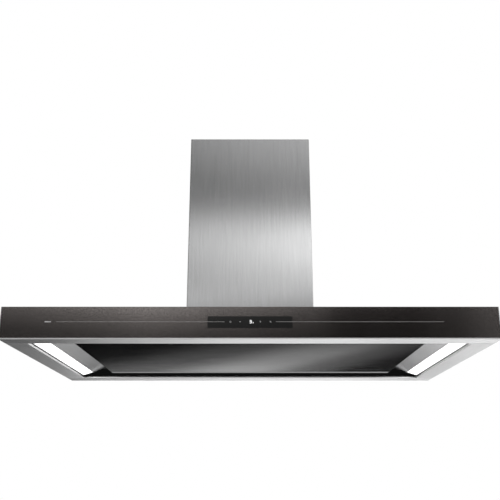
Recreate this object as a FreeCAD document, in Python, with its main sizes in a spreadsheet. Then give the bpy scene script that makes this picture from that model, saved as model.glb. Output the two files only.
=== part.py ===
"""Island range hood: a shallow 1200 x 700 mm canopy under a telescoping chimney hung from the ceiling.

Frame: millimetres, +Z up, X along the canopy's width, the controls face -Y.
Origin: centre of the ceiling plate's top face, so the whole hood hangs below z = 0.
"""
import FreeCAD, Part
import os
import Sketcher
from FreeCAD import Rotation, Vector

doc = FreeCAD.newDocument("IslandRangeHood")
sheet = doc.addObject("Spreadsheet::Sheet", "Dims")
pieces = []

# Driving dimensions, one cell of the sheet each.
SIZES = {
    # overall
    "hood_drop": 640,            # ceiling to the canopy's underside, shortest setting
    "canopy_width": 1200,
    "canopy_depth": 700,
    "canopy_height": 80,
    # canopy sheet metal and glass
    "shell_side": 2,             # side sheets
    "shell_sheet": 1.5,          # top, walls and flanges
    "facia_glass": 4,            # dark glass on the front and rear faces
    "steel_reveal": 3.5,         # steel edge that shows under the facia glass
    "glass_play": 0.3,
    "flange_width": 55,
    "flange_lip": 5,
    "seam": 0.3,
    "duct_window_width": 300,    # hole in the canopy's top, under the blower
    "duct_window_depth": 210,
    "board_width": 200,          # touch control board behind the front glass
    "board_height": 27,
    "board_thick": 3,
    "board_level": 41.5,
    "board_window_margin": 3,
    # recess around the suction panel
    "slope": 0.3,                # rise of the lamps and inner side panels
    "lamp_edge": 542.5,          # outer edge of the lamps from the centre plane
    "lamp_level": 6,
    "lamp_width": 32.5,
    "lamp_half_length": 267,
    "diffuser_thick": 2.5,
    "housing_sheet": 1.5,
    "housing_depth": 14,
    "led_board_thick": 1.6,
    "inner_sheet": 1,
    "inner_panel_end": 430,      # inner edge of the side panels from the centre plane
    "channel_edge": 294,         # outer edge of the 45 degree suction channels
    "channel_level": 8,
    "tray_level": 40.75,
    "tray_half_width": 520,
    "tray_half_depth": 275,
    # suction panel
    "panel_width": 890,
    "panel_depth": 500,
    "panel_level": 11,
    "panel_glass": 4,
    "pan_margin": 15,            # glass that stands out past the pan
    "pan_height": 7,
    "pan_sheet": 1,
    "hinge_place": 300,          # hinges and magnets from the centre plane
    "hinge_back": 244.5,
    "hinge_level": 19.5,
    "hinge_pin_radius": 2.5,
    "hinge_barrel_radius": 3.5,
    "knuckle_half": 16,
    "ear_thick": 3,
    "ear_gap": 0.3,
    "running_gap": 0.05,
    "magnet_width": 40,
    "magnet_depth": 12,
    "magnet_front": -216,
    "magnet_gap": 0.2,
    # grease filters
    "filter_place": 200,         # filter's centre from the centre plane
    "filter_width": 380,
    "filter_depth": 320,
    "filter_level": 38,
    "filter_thick": 9,
    "filter_rim": 10,
    "mesh_inset": 3,
    "filter_play": 3,
    "filter_swing_room": 6,
    "filter_axis_back": 156,
    "filter_axis_level": 45,
    "filter_pin_radius": 2,
    "filter_pin_length": 7,
    "lug_half_depth": 5,
    "lug_thick": 4,
    "lug_height": 7.5,
    "latch_width": 36,
    "latch_depth": 14,
    "latch_height": 4,
    "latch_nose": 2.5,
    # telescoping frame
    "travel": 300,
    "plate_width": 338,
    "plate_depth": 288,
    "plate_thick": 3,
    "plate_rim": 20,
    "rim_sheet": 2,
    "duct_hole_radius": 85,
    "bolt_space_x": 250,
    "bolt_space_y": 200,
    "bolt_hole_radius": 4,
    "cable_hole_radius": 10,
    "cable_hole_back": 115,
    "upper_corner_x": 165,
    "upper_corner_y": 140,
    "nest_gap": 0.5,
    "angle_leg": 25,
    "angle_sheet": 2,
    "upper_end": 500,            # lower end of the upper uprights
    "lower_top": 60,             # upper end of the lower uprights
    "brace_height": 20,
    "clamp_level": 110,
    "clamp_inset": 12.5,
    "clamp_radius": 3,
    "clamp_play": 0.5,
    "clamp_head_radius": 6,
    "clamp_head": 3,
    "base_sheet": 3,
    "base_rim": 10,
    "base_bolt_head": 5,
    # chimney covers
    "cover_width": 346,
    "cover_depth": 296,
    "cover_sheet": 1.2,
    "cover_bend": 2.6,
    "cover_top_gap": 2,
    "inner_width": 340,
    "inner_depth": 290,
    "inner_cover_sheet": 1,
    "inner_cover_end": 545,
    "screw_radius": 3,
    "screw_head": 1.2,
    "screw_shank_radius": 1.6,
    "screw_spread": 70,
    # blower
    "deck_level": 302,
    "deck_sheet": 2,
    "blower_half_width": 60,
    "blower_sheet": 1.5,
    "scroll_radius": 90,
    "scroll_back": -42,
    "scroll_level": 440,
    "neck_half_depth": 48,
    "inlet_radius": 58,
    "neck_flange": 14,
    "grommet_radius": 6,
    "grommet_height": 6,
    "wheel_radius": 68,
    "wheel_start": -50,
    "wheel_end": 45,
    "blade_depth": 13,
    "blade_thick": 1.2,
    "blade_count": 24,
    "hub_radius": 14,
    "hub_length": 18,
    "motor_radius": 40,
    "motor_length": 60,
    "shaft_radius": 4,
    "shaft_hole_radius": 12,
    # outlet
    "spigot_radius": 75,
    "spigot_sheet": 2,
    "spigot_height": 85,
    "spigot_flange": 8,
    "damper_lift": 15,
    "damper_bar_radius": 2,
    "damper_barrel_radius": 3.5,
    "damper_sheet": 1,
    "damper_play": 2,
    "damper_split": 4,
    # electrics
    "box_outer": 490,
    "box_width": 90,
    "box_depth": 160,
    "box_height": 26,
    "box_wall": 2,
    "gland_radius": 8,
    "gland_length": 18,
    "gland_back": 40,
}


class Size:
    """A number that keeps the expression it comes from, so a property can be bound to the sheet."""

    def __init__(self, text, value):
        self.text = text
        self.value = value

    def joined(self, sign, other, value):
        return Size(f"({self.text} {sign} {sized(other).text})", value)

    def __add__(self, other):
        return self.joined("+", other, self.value + sized(other).value)

    def __radd__(self, other):
        return sized(other) + self

    def __sub__(self, other):
        return self.joined("-", other, self.value - sized(other).value)

    def __rsub__(self, other):
        return sized(other) - self

    def __mul__(self, other):
        return self.joined("*", other, self.value * sized(other).value)

    def __rmul__(self, other):
        return sized(other) * self

    def __truediv__(self, other):
        return self.joined("/", other, self.value / sized(other).value)

    def __neg__(self):
        return sized(0) - self


def sized(number):
    """The number as a Size."""
    return number if isinstance(number, Size) else Size(f"({number})", float(number))


class Cells:
    """The sheet's cells by alias."""

    def __getattr__(self, alias):
        return Size(f"Dims.{alias}", float(SIZES[alias]))


def fill_sheet():
    """Write every driving dimension in the sheet, its name beside it."""
    for row, (alias, value) in enumerate(SIZES.items(), start=1):
        sheet.set(f"A{row}", alias)
        sheet.set(f"B{row}", str(value))
        sheet.setAlias(f"B{row}", alias)
    doc.recompute()


dims = Cells()
fill_sheet()

# Levels and half sizes used by many pieces.
bottom = -dims.hood_drop
canopy_top = bottom + dims.canopy_height
half_width = dims.canopy_width / 2
half_depth = dims.canopy_depth / 2
glass_back = half_depth - dims.facia_glass
side_inner = half_width - dims.shell_side
opening_x = half_width - dims.flange_width
opening_y = half_depth - dims.flange_width
lower_corner_x = dims.upper_corner_x - dims.angle_sheet - dims.nest_gap
lower_corner_y = dims.upper_corner_y - dims.angle_sheet - dims.nest_gap
hinge_z = bottom + dims.hinge_level
filter_axis_z = bottom + dims.filter_axis_level
tray_bottom = bottom + dims.tray_level
tray_top = tray_bottom + dims.shell_sheet
deck_top = -dims.deck_level + dims.deck_sheet
scroll_z = -dims.scroll_level
SIDES = {"left": -1, "right": 1}
ENDS = {"front": -1, "rear": 1}


def ordered(one, other):
    """Two sizes, the lower one first."""
    return (one, other) if sized(one).value <= sized(other).value else (other, one)


# ---- modelling helpers -------------------------------------------------------------------------

def bind(item, prop, size):
    """Bind one property of an object to an expression over the sheet."""
    item.setExpression(prop, sized(size).text)


def keep(item, label):
    """Name an object as one of the hood's sub-parts."""
    item.Label = label
    pieces.append(item)
    return item


def new_body(label):
    return keep(doc.addObject("PartDesign::Body", f"Body_{label}"), label)


def new_sketch(body, plane, level):
    """An empty sketch on one of the body's origin planes, moved to level along the plane's axis."""
    origin_plane = next(f for f in body.Origin.OriginFeatures if f.Role == plane)
    sketch = body.newObject("Sketcher::SketchObject", "Sketch")
    sketch.AttachmentSupport = [(origin_plane, "")]
    sketch.MapMode = "FlatFace"
    bind(sketch, "AttachmentOffset.Base.z", -level if plane == "XZ_Plane" else level)
    return sketch


def fix_point(sketch, geometry, place, point):
    """Dimension one point of a sketch from its origin."""
    for kind, size in zip(("DistanceX", "DistanceY"), point):
        number = sketch.addConstraint(Sketcher.Constraint(kind, geometry, place, sized(size).value))
        bind(sketch, f"Constraints[{number}]", size)


def draw_outline(sketch, points):
    """A closed outline through the points."""
    first = sketch.GeometryCount
    count = len(points)
    corners = [Vector(sized(u).value, sized(v).value, 0) for u, v in points]
    for step in range(count):
        sketch.addGeometry(Part.LineSegment(corners[step], corners[(step + 1) % count]), False)
    for step in range(count):
        following = first + (step + 1) % count
        sketch.addConstraint(Sketcher.Constraint("Coincident", first + step, 2, following, 1))
    for step, point in enumerate(points):
        fix_point(sketch, first + step, 1, point)


def draw_circle(sketch, centre, radius):
    """A circle of a bound radius about a bound centre."""
    middle = Vector(sized(centre[0]).value, sized(centre[1]).value, 0)
    circle = Part.Circle(middle, Vector(0, 0, 1), sized(radius).value)
    geometry = sketch.addGeometry(circle, False)
    number = sketch.addConstraint(Sketcher.Constraint("Radius", geometry, sized(radius).value))
    bind(sketch, f"Constraints[{number}]", radius)
    fix_point(sketch, geometry, 3, centre)


def extrude(body, kind, plane, start, end, outlines=(), circles=()):
    """Pad or pocket outlines and circles between two levels along the plane's axis."""
    start = sized(start)
    end = sized(end)
    pad = kind == "Pad"
    from_end = pad == (plane == "XZ_Plane")
    sketch = new_sketch(body, plane, end if from_end else start)
    for points in outlines:
        draw_outline(sketch, points)
    for centre, radius in circles:
        draw_circle(sketch, centre, radius)
    before = body.Shape.Volume if body.Shape.Solids else 0
    feature = body.newObject(f"PartDesign::{kind}", kind)
    feature.Profile = sketch
    bind(feature, "Length", end - start)
    doc.recompute()
    change = body.Shape.Volume - before
    if (pad and change <= 0) or (not pad and change >= 0):
        raise ValueError(f"{kind} on {body.Label} changes nothing")
    return feature


def rectangle(low_u, high_u, low_v, high_v):
    return [(low_u, low_v), (high_u, low_v), (high_u, high_v), (low_u, high_v)]


def centred(width, depth):
    """A rectangle about the origin."""
    return rectangle(-width / 2, width / 2, -depth / 2, depth / 2)


def fillet_upright(body, x, y, radius):
    """Round the body's vertical edge at (x, y), as a bend in sheet metal does."""
    names = []
    for number, edge in enumerate(body.Shape.Edges, start=1):
        ends = [vertex.Point for vertex in edge.Vertexes]
        if len(ends) == 2 and all(abs(p.x - x.value) + abs(p.y - y.value) < 0.01 for p in ends):
            names.append(f"Edge{number}")
    base = body.Tip
    fillet = body.newObject("PartDesign::Fillet", "Bend")
    fillet.Base = (base, names)
    bind(fillet, "Radius", radius)
    doc.recompute()


def fillet_corners(body, width, depth):
    """Round a plate's four upright corners to clear the bends of the cover round it."""
    for side in (-1, 1):
        for end in (-1, 1):
            fillet_upright(body, side * width / 2, end * depth / 2, dims.cover_bend)


def box(low, high):
    """A Part box between two corners."""
    item = doc.addObject("Part::Box", "Box")
    for prop, a, b in zip(("Length", "Width", "Height"), low, high):
        bind(item, prop, sized(b) - a)
    for axis, a in zip("xyz", low):
        bind(item, f"Placement.Base.{axis}", a)
    return item


AXIS_TURN = {
    "x": Rotation(Vector(0, 1, 0), 90),
    "y": Rotation(Vector(1, 0, 0), -90),
    "z": Rotation(),
}


def cylinder(start, axis, radius, length):
    """A Part cylinder from its start point along +axis."""
    item = doc.addObject("Part::Cylinder", "Cylinder")
    item.Placement.Rotation = AXIS_TURN[axis]
    bind(item, "Radius", radius)
    bind(item, "Height", length)
    for name, a in zip("xyz", start):
        bind(item, f"Placement.Base.{name}", a)
    return item


def fuse(*items):
    item = doc.addObject("Part::MultiFuse", "Fusion")
    item.Shapes = list(items)
    return item


def group(*items):
    """Separate solids that share one node."""
    item = doc.addObject("Part::Compound", "Group")
    item.Links = list(items)
    return item


def cut(base, *tools):
    item = doc.addObject("Part::Cut", "Cut")
    item.Base = base
    item.Tool = tools[0] if len(tools) == 1 else fuse(*tools)
    return item


# ---- telescoping frame --------------------------------------------------------------------------

def make_ceiling_plate():
    """Rimmed plate screwed to the ceiling, open in the middle for the duct."""
    body = new_body("ceiling_plate")
    extrude(body, "Pad", "XY_Plane", -dims.plate_rim, 0, [centred(dims.plate_width, dims.plate_depth)])
    inside = centred(dims.plate_width - 2 * dims.rim_sheet, dims.plate_depth - 2 * dims.rim_sheet)
    extrude(body, "Pocket", "XY_Plane", -dims.plate_rim, -dims.plate_thick, [inside])
    holes = [((0, 0), dims.duct_hole_radius), ((0, dims.cable_hole_back), dims.cable_hole_radius)]
    for side in (-1, 1):
        for end in (-1, 1):
            place = (side * dims.bolt_space_x / 2, end * dims.bolt_space_y / 2)
            holes.append((place, dims.bolt_hole_radius))
    extrude(body, "Pocket", "XY_Plane", -dims.plate_thick, 0, circles=holes)
    fillet_corners(body, dims.plate_width, dims.plate_depth)


def make_upright(label, side, end, corner_x, corner_y, low, high):
    """One corner angle, its heel at the outside corner."""
    body = new_body(label)
    leg = dims.angle_leg
    thick = dims.angle_sheet
    x = side * corner_x
    y = end * corner_y
    points = [
        (x, y),
        (x, y - end * leg),
        (x - side * thick, y - end * leg),
        (x - side * thick, y - end * thick),
        (x - side * leg, y - end * thick),
        (x - side * leg, y),
    ]
    extrude(body, "Pad", "XY_Plane", low, high, [points])
    return body


def make_uprights():
    """Four slotted upper angles, and four lower ones that telescope inside them."""
    clamp_z = -dims.clamp_level
    slot_half = dims.clamp_radius + dims.clamp_play
    for end_name, end in ENDS.items():
        for side_name, side in SIDES.items():
            place = f"{end_name}_{side_name}"
            upper = make_upright(f"upper_upright_{place}", side, end, dims.upper_corner_x,
                                 dims.upper_corner_y, -dims.upper_end, -dims.plate_thick)
            clamp_y = end * (dims.upper_corner_y - dims.clamp_inset)
            slot = rectangle(clamp_y - slot_half, clamp_y + slot_half,
                             clamp_z - dims.travel - slot_half, clamp_z + slot_half)
            span = ordered(side * (dims.upper_corner_x - dims.angle_leg), side * (dims.upper_corner_x + 1))
            extrude(upper, "Pocket", "YZ_Plane", span[0], span[1], [slot])

            lower = make_upright(f"lower_upright_{place}", side, end, lower_corner_x,
                                 lower_corner_y, canopy_top + dims.base_sheet, -dims.lower_top)
            span = ordered(side * (lower_corner_x - dims.angle_leg), side * (lower_corner_x + 1))
            extrude(lower, "Pocket", "YZ_Plane", span[0], span[1],
                    circles=[((clamp_y, clamp_z), dims.clamp_radius)])


def make_upper_brace_ring():
    """Flat ring that ties the upper uprights' lower ends together."""
    body = new_body("upper_brace_ring")
    low = -dims.upper_end
    width = 2 * dims.upper_corner_x
    depth = 2 * dims.upper_corner_y
    outer = centred(width + 2 * dims.angle_sheet, depth + 2 * dims.angle_sheet)
    inner = centred(width, depth)
    extrude(body, "Pad", "XY_Plane", low, low + dims.brace_height, [outer, inner])


def make_clamp_bolts():
    """Bolts through the lower uprights that ride in the upper uprights' slots."""
    bolts = []
    inner_x = lower_corner_x - dims.angle_sheet
    head_x = dims.upper_corner_x + dims.clamp_play / 2
    nut_x = inner_x - dims.clamp_head
    for end in ENDS.values():
        for side in SIDES.values():
            y = end * (dims.upper_corner_y - dims.clamp_inset)
            z = -dims.clamp_level
            if side > 0:
                shank_x, head_start, nut_start = nut_x, head_x, nut_x
            else:
                shank_x, head_start, nut_start = -head_x, -head_x - dims.clamp_head, -inner_x
            shank = cylinder((shank_x, y, z), "x", dims.clamp_radius, head_x - nut_x)
            head = cylinder((head_start, y, z), "x", dims.clamp_head_radius, dims.clamp_head)
            nut = cylinder((nut_start, y, z), "x", dims.clamp_head_radius, dims.clamp_head)
            bolts.append(fuse(shank, head, nut))
    keep(group(*bolts), "height_clamp_bolts")


def make_frame_base_ring():
    """Rimmed plate on the canopy that carries the lower uprights and the chimney cover."""
    body = new_body("frame_base_ring")
    width = dims.cover_width - 2 * dims.cover_sheet
    depth = dims.cover_depth - 2 * dims.cover_sheet
    rim_inner = centred(width - 2 * dims.shell_sheet, depth - 2 * dims.shell_sheet)
    plate_top = canopy_top + dims.base_sheet
    extrude(body, "Pad", "XY_Plane", canopy_top, plate_top + dims.base_rim, [centred(width, depth)])
    extrude(body, "Pocket", "XY_Plane", plate_top, plate_top + dims.base_rim, [rim_inner])
    window = centred(dims.duct_window_width, dims.duct_window_depth)
    extrude(body, "Pocket", "XY_Plane", canopy_top, plate_top, [window])
    fillet_corners(body, width, depth)


def make_frame_bolts():
    """Bolts that hold the base ring on the canopy's top sheet."""
    bolts = []
    head_low = canopy_top + dims.base_sheet
    length = 3 * dims.base_sheet + dims.clamp_head
    rim_x = (dims.duct_window_width + dims.inner_width) / 4
    rim_y = (dims.duct_window_depth + dims.inner_depth) / 4
    for end in (-1, 1):
        for side in (-1, 1):
            for x, y in ((side * rim_x, end * rim_y / 2), (side * rim_x / 2, end * rim_y)):
                head = cylinder((x, y, head_low), "z", dims.base_bolt_head, dims.clamp_head)
                shank = cylinder((x, y, head_low - length), "z", dims.clamp_radius, length)
                bolts.append(fuse(head, shank))
    keep(group(*bolts), "frame_bolts")


# ---- chimney covers -----------------------------------------------------------------------------

def make_cover(label, end, width, depth, thick, low, high):
    """Front or rear half of a chimney cover: a folded channel that meets the other at the sides."""
    body = new_body(label)
    x = width / 2
    y = end * depth / 2
    seam_y = end * dims.seam / 2
    inner_y = y - end * thick
    points = [
        (-x, seam_y), (-x, y), (x, y), (x, seam_y),
        (x - thick, seam_y), (x - thick, inner_y), (thick - x, inner_y), (thick - x, seam_y),
    ]
    extrude(body, "Pad", "XY_Plane", low, high, [points])
    for side in SIDES.values():
        fillet_upright(body, side * x, y, dims.cover_bend)
        fillet_upright(body, side * (x - thick), inner_y, dims.cover_bend - thick)


def make_cover_screws(label, outer_x, z):
    """Flat-headed screws in both sides of a cover."""
    screws = []
    length = 4 * dims.screw_radius / 3
    for end in ENDS.values():
        y = end * dims.screw_spread
        right = fuse(cylinder((outer_x, y, z), "x", dims.screw_radius, dims.screw_head),
                     cylinder((outer_x - length, y, z), "x", dims.screw_shank_radius, length))
        left = fuse(cylinder((-outer_x - dims.screw_head, y, z), "x", dims.screw_radius, dims.screw_head),
                    cylinder((-outer_x, y, z), "x", dims.screw_shank_radius, length))
        screws += [right, left]
    keep(group(*screws), label)


def make_covers():
    """The inner cover stays with the ceiling, the outer one moves with the canopy."""
    for name, end in ENDS.items():
        make_cover(f"upper_cover_{name}", end, dims.inner_width, dims.inner_depth,
                   dims.inner_cover_sheet, -dims.inner_cover_end, -dims.cover_top_gap)
        make_cover(f"lower_cover_{name}", end, dims.cover_width, dims.cover_depth,
                   dims.cover_sheet, canopy_top, -dims.cover_top_gap)
    make_cover_screws("upper_cover_screws", dims.inner_width / 2, -dims.plate_rim * 0.6)
    make_cover_screws("lower_cover_screws", dims.cover_width / 2,
                      canopy_top + dims.base_sheet + dims.base_rim / 2)


# ---- canopy -------------------------------------------------------------------------------------

def make_canopy_shell():
    """Folded shell: top, two sides, and a wall behind each facia glass."""
    body = new_body("canopy_shell")
    outline = [
        (-half_width, -half_depth), (-side_inner, -half_depth), (-side_inner, -glass_back),
        (side_inner, -glass_back), (side_inner, -half_depth), (half_width, -half_depth),
        (half_width, half_depth), (side_inner, half_depth), (side_inner, glass_back),
        (-side_inner, glass_back), (-side_inner, half_depth), (-half_width, half_depth),
    ]
    extrude(body, "Pad", "XY_Plane", bottom, canopy_top, [outline])
    inside = centred(2 * side_inner, 2 * (glass_back - dims.shell_sheet))
    extrude(body, "Pocket", "XY_Plane", bottom, canopy_top - dims.shell_sheet, [inside])
    under_walls = centred(2 * side_inner, dims.canopy_depth)
    extrude(body, "Pocket", "XY_Plane", bottom, bottom + dims.shell_sheet, [under_walls])
    window = centred(dims.duct_window_width, dims.duct_window_depth)
    extrude(body, "Pocket", "XY_Plane", canopy_top - dims.shell_sheet, canopy_top, [window])
    half_board = dims.board_width / 2 + dims.board_window_margin
    board_z = bottom + dims.board_level
    half_high = dims.board_height / 2 + dims.board_window_margin
    board_hole = rectangle(-half_board, half_board, board_z - half_high, board_z + half_high)
    extrude(body, "Pocket", "XZ_Plane", -glass_back, dims.shell_sheet - glass_back, [board_hole])


def make_facia_glasses():
    """Dark glass over the front and rear walls, standing on the flanges' steel edge."""
    x = side_inner - dims.glass_play
    low = bottom + dims.steel_reveal
    for name, end in ENDS.items():
        body = new_body(f"{name}_glass")
        span = ordered(end * glass_back, end * half_depth)
        extrude(body, "Pad", "XZ_Plane", span[0], span[1], [rectangle(-x, x, low, canopy_top)])


def make_flanges():
    """Four folded bars that frame the underside; the front and rear ones run the full width."""
    thick = dims.shell_sheet
    for name, end in ENDS.items():
        body = new_body(f"flange_{name}")
        outer = end * half_depth
        inner = end * opening_y
        points = [
            (outer, bottom), (outer, bottom + dims.steel_reveal),
            (outer - end * thick, bottom + dims.steel_reveal), (outer - end * thick, bottom + thick),
            (inner + end * thick, bottom + thick), (inner + end * thick, bottom + dims.flange_lip),
            (inner, bottom + dims.flange_lip), (inner, bottom),
        ]
        extrude(body, "Pad", "YZ_Plane", -side_inner, side_inner, [points])
    for name, side in SIDES.items():
        body = new_body(f"flange_{name}")
        outer = side * side_inner
        inner = side * opening_x
        points = [
            (outer, bottom), (outer, bottom + thick),
            (inner + side * thick, bottom + thick), (inner + side * thick, bottom + dims.flange_lip),
            (inner, bottom + dims.flange_lip), (inner, bottom),
        ]
        reach = opening_y - dims.seam
        extrude(body, "Pad", "XZ_Plane", -reach, reach, [points])


def slope_at(x):
    """Level of the sloping lamp and side panel surface at a distance from the centre plane."""
    return bottom + dims.lamp_level + (dims.lamp_edge - x) * dims.slope


def sloped_strip(side, outer, inner, low, high):
    """Outline of a strip parallel to the slope, from low to high above it."""
    return [
        (side * outer, slope_at(outer) + low), (side * inner, slope_at(inner) + low),
        (side * inner, slope_at(inner) + high), (side * outer, slope_at(outer) + high),
    ]


def make_lamps():
    """Each side's lamp: an aluminium channel, a board of LEDs and an opal diffuser."""
    outer = dims.lamp_edge
    inner = outer - dims.lamp_width
    wall = dims.housing_sheet
    depth = dims.housing_depth
    reach = dims.lamp_half_length
    for name, side in SIDES.items():
        housing = new_body(f"led_housing_{name}")
        points = [
            (side * outer, slope_at(outer)), (side * outer, slope_at(outer) + depth),
            (side * inner, slope_at(inner) + depth), (side * inner, slope_at(inner)),
            (side * (inner + wall), slope_at(inner + wall)),
            (side * (inner + wall), slope_at(inner + wall) + depth - wall),
            (side * (outer - wall), slope_at(outer - wall) + depth - wall),
            (side * (outer - wall), slope_at(outer - wall)),
        ]
        extrude(housing, "Pad", "XZ_Plane", -reach, reach, [points])
        diffuser = new_body(f"led_diffuser_{name}")
        strip = sloped_strip(side, outer - wall, inner + wall, 0, dims.diffuser_thick)
        extrude(diffuser, "Pad", "XZ_Plane", -reach, reach, [strip])
        board = new_body(f"led_board_{name}")
        strip = sloped_strip(side, outer - 2 * wall, inner + 2 * wall,
                             depth - wall - dims.led_board_thick, depth - wall)
        extrude(board, "Pad", "XZ_Plane", -reach, reach, [strip])


def make_inner_panels():
    """Sloping steel panels from the lamps up to the filter tray."""
    channel_reach = dims.channel_edge - (dims.tray_level - dims.channel_level)
    for name, side in SIDES.items():
        body = new_body(f"inner_panel_{name}")
        outer = dims.lamp_edge - dims.lamp_width - dims.seam
        strip = sloped_strip(side, outer, dims.inner_panel_end, 0, dims.inner_sheet)
        extrude(body, "Pad", "XZ_Plane", -channel_reach, channel_reach, [strip])


def make_suction_channels():
    """Dark 45 degree walls that lead the air up behind the suction panel's long edges."""
    rise = dims.tray_level - dims.channel_level
    for name, end in ENDS.items():
        body = new_body(f"suction_channel_{name}")
        low = bottom + dims.channel_level
        outer = dims.channel_edge
        points = [
            (end * outer, low), (end * outer, low + dims.inner_sheet),
            (end * (outer - rise + dims.inner_sheet), tray_bottom), (end * (outer - rise), tray_bottom),
        ]
        extrude(body, "Pad", "YZ_Plane", -dims.lamp_edge, dims.lamp_edge, [points])


def make_filter_tray():
    """Plate over the recess with two filter openings and the lugs that hold the filters' pins."""
    body = new_body("filter_tray")
    extrude(body, "Pad", "XY_Plane", tray_bottom, tray_top,
            [centred(2 * dims.tray_half_width, 2 * dims.tray_half_depth)])
    openings = []
    lugs = []
    half_filter = dims.filter_width / 2
    axis_y = dims.filter_axis_back
    for side in SIDES.values():
        middle = side * dims.filter_place
        reach = half_filter + dims.filter_play
        openings.append(rectangle(middle - reach, middle + reach, -dims.filter_depth / 2 - dims.filter_play,
                                  dims.filter_depth / 2 + dims.filter_swing_room))
        for hand in (-1, 1):
            near = middle + hand * (reach + dims.seam)
            far = near + hand * dims.lug_thick
            span = ordered(near, far)
            lugs.append(rectangle(*span, axis_y - dims.lug_half_depth, axis_y + dims.lug_half_depth))
    extrude(body, "Pocket", "XY_Plane", tray_bottom, tray_top, openings)
    extrude(body, "Pad", "XY_Plane", tray_top, tray_top + dims.lug_height, lugs)
    extrude(body, "Pocket", "YZ_Plane", -dims.tray_half_width, dims.tray_half_width,
            circles=[((axis_y, filter_axis_z), dims.filter_pin_radius + dims.running_gap)])


# ---- suction panel and filters ------------------------------------------------------------------

def make_suction_panel():
    """Black glass stuck to a shallow steel pan with two hinge knuckles at the rear."""
    low = bottom + dims.panel_level
    glass = new_body("suction_glass")
    pan_low = low + dims.panel_glass
    extrude(glass, "Pad", "XY_Plane", low, pan_low, [centred(dims.panel_width, dims.panel_depth)])

    pan_high = pan_low + dims.pan_height
    width = dims.panel_width - 2 * dims.pan_margin
    depth = dims.panel_depth - 2 * dims.pan_margin
    inside = centred(width - 2 * dims.pan_sheet, depth - 2 * dims.pan_sheet)
    pan = new_body("suction_pan")
    extrude(pan, "Pad", "XY_Plane", pan_low, pan_high, [centred(width, depth)])
    extrude(pan, "Pocket", "XY_Plane", pan_low + dims.pan_sheet, pan_high, [inside])
    back = depth / 2
    block = rectangle(back, dims.hinge_back, hinge_z - dims.hinge_barrel_radius, pan_high)
    barrel = [((dims.hinge_back, hinge_z), dims.hinge_barrel_radius)]
    for side in SIDES.values():
        start = side * dims.hinge_place - dims.knuckle_half
        end = side * dims.hinge_place + dims.knuckle_half
        extrude(pan, "Pad", "YZ_Plane", start, end, [block])
        extrude(pan, "Pad", "YZ_Plane", start, end, circles=barrel)
    extrude(pan, "Pocket", "YZ_Plane", -width / 2, width / 2,
            circles=[((dims.hinge_back, hinge_z), dims.hinge_pin_radius + dims.running_gap)])


def make_hinge_brackets():
    """Two-eared brackets under the tray, each ear bored for the hinge pin."""
    brackets = []
    back = dims.hinge_back
    round_end = dims.hinge_barrel_radius
    ear_top = tray_bottom - dims.shell_sheet
    for side in SIDES.values():
        middle = side * dims.hinge_place
        reach = dims.knuckle_half + dims.ear_gap + dims.ear_thick
        solids = [box((middle - reach, back - 3 * round_end, ear_top),
                      (middle + reach, back + round_end, tray_bottom))]
        for hand in (-1, 1):
            start = middle - reach if hand < 0 else middle + reach - dims.ear_thick
            solids.append(box((start, back - round_end, hinge_z),
                              (start + dims.ear_thick, back + round_end, ear_top)))
            solids.append(cylinder((start, back, hinge_z), "x", round_end, dims.ear_thick))
        bore = cylinder((middle - reach, back, hinge_z), "x", dims.hinge_pin_radius, 2 * reach)
        brackets.append(cut(fuse(*solids), bore))
    keep(group(*brackets), "hinge_brackets")


def make_hinge_pins():
    """A plain pin across each bracket's ears."""
    pins = []
    reach = dims.knuckle_half + dims.ear_gap + dims.ear_thick
    for side in SIDES.values():
        start = side * dims.hinge_place - reach
        pins.append(cylinder((start, dims.hinge_back, hinge_z), "x", dims.hinge_pin_radius, 2 * reach))
    keep(group(*pins), "hinge_pins")


def make_magnets():
    """Block magnets under the tray that hold the closed panel's steel pan."""
    low = bottom + dims.panel_level + dims.panel_glass + dims.pan_height + dims.magnet_gap
    magnets = []
    for side in SIDES.values():
        middle = side * dims.hinge_place
        magnets.append(box((middle - dims.magnet_width / 2, dims.magnet_front - dims.magnet_depth, low),
                           (middle + dims.magnet_width / 2, sized(dims.magnet_front), tray_bottom)))
    keep(group(*magnets), "panel_magnets")


def make_filters():
    """Grease filters: a channel frame with hinge pins, a mesh pack, and a sprung catch."""
    low = bottom + dims.filter_level
    high = low + dims.filter_thick
    half_x = dims.filter_width / 2
    half_y = dims.filter_depth / 2
    rim = dims.filter_rim
    axis = (dims.filter_axis_back, filter_axis_z)
    for name, side in SIDES.items():
        middle = side * dims.filter_place
        outer = rectangle(middle - half_x, middle + half_x, -half_y, half_y)
        inner = rectangle(middle - half_x + rim, middle + half_x - rim, -half_y + rim, half_y - rim)
        frame = new_body(f"filter_frame_{name}")
        extrude(frame, "Pad", "XY_Plane", low, high, [outer, inner])
        for start in (middle - half_x - dims.filter_pin_length, middle + half_x):
            extrude(frame, "Pad", "YZ_Plane", start, start + dims.filter_pin_length,
                    circles=[(axis, dims.filter_pin_radius)])
        mesh = new_body(f"filter_mesh_{name}")
        extrude(mesh, "Pad", "XY_Plane", low + dims.mesh_inset, high - dims.mesh_inset, [inner])
        latch = new_body(f"filter_latch_{name}")
        nose = -half_y - dims.latch_nose
        extrude(latch, "Pad", "XY_Plane", low - dims.latch_height, low,
                [rectangle(middle - dims.latch_width / 2, middle + dims.latch_width / 2,
                           nose, nose + dims.latch_depth)])


# ---- blower and outlet --------------------------------------------------------------------------

def make_blower_deck():
    """Plate between the lower uprights that closes the blower's chamber and carries the outlet."""
    body = new_body("blower_deck")
    width = 2 * (lower_corner_x - dims.angle_sheet)
    depth = 2 * (lower_corner_y - dims.angle_sheet)
    extrude(body, "Pad", "XY_Plane", -dims.deck_level, deck_top, [centred(width, depth)])
    extrude(body, "Pocket", "XY_Plane", -dims.deck_level, deck_top,
            circles=[((0, 0), dims.spigot_radius - dims.spigot_sheet)])


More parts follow.
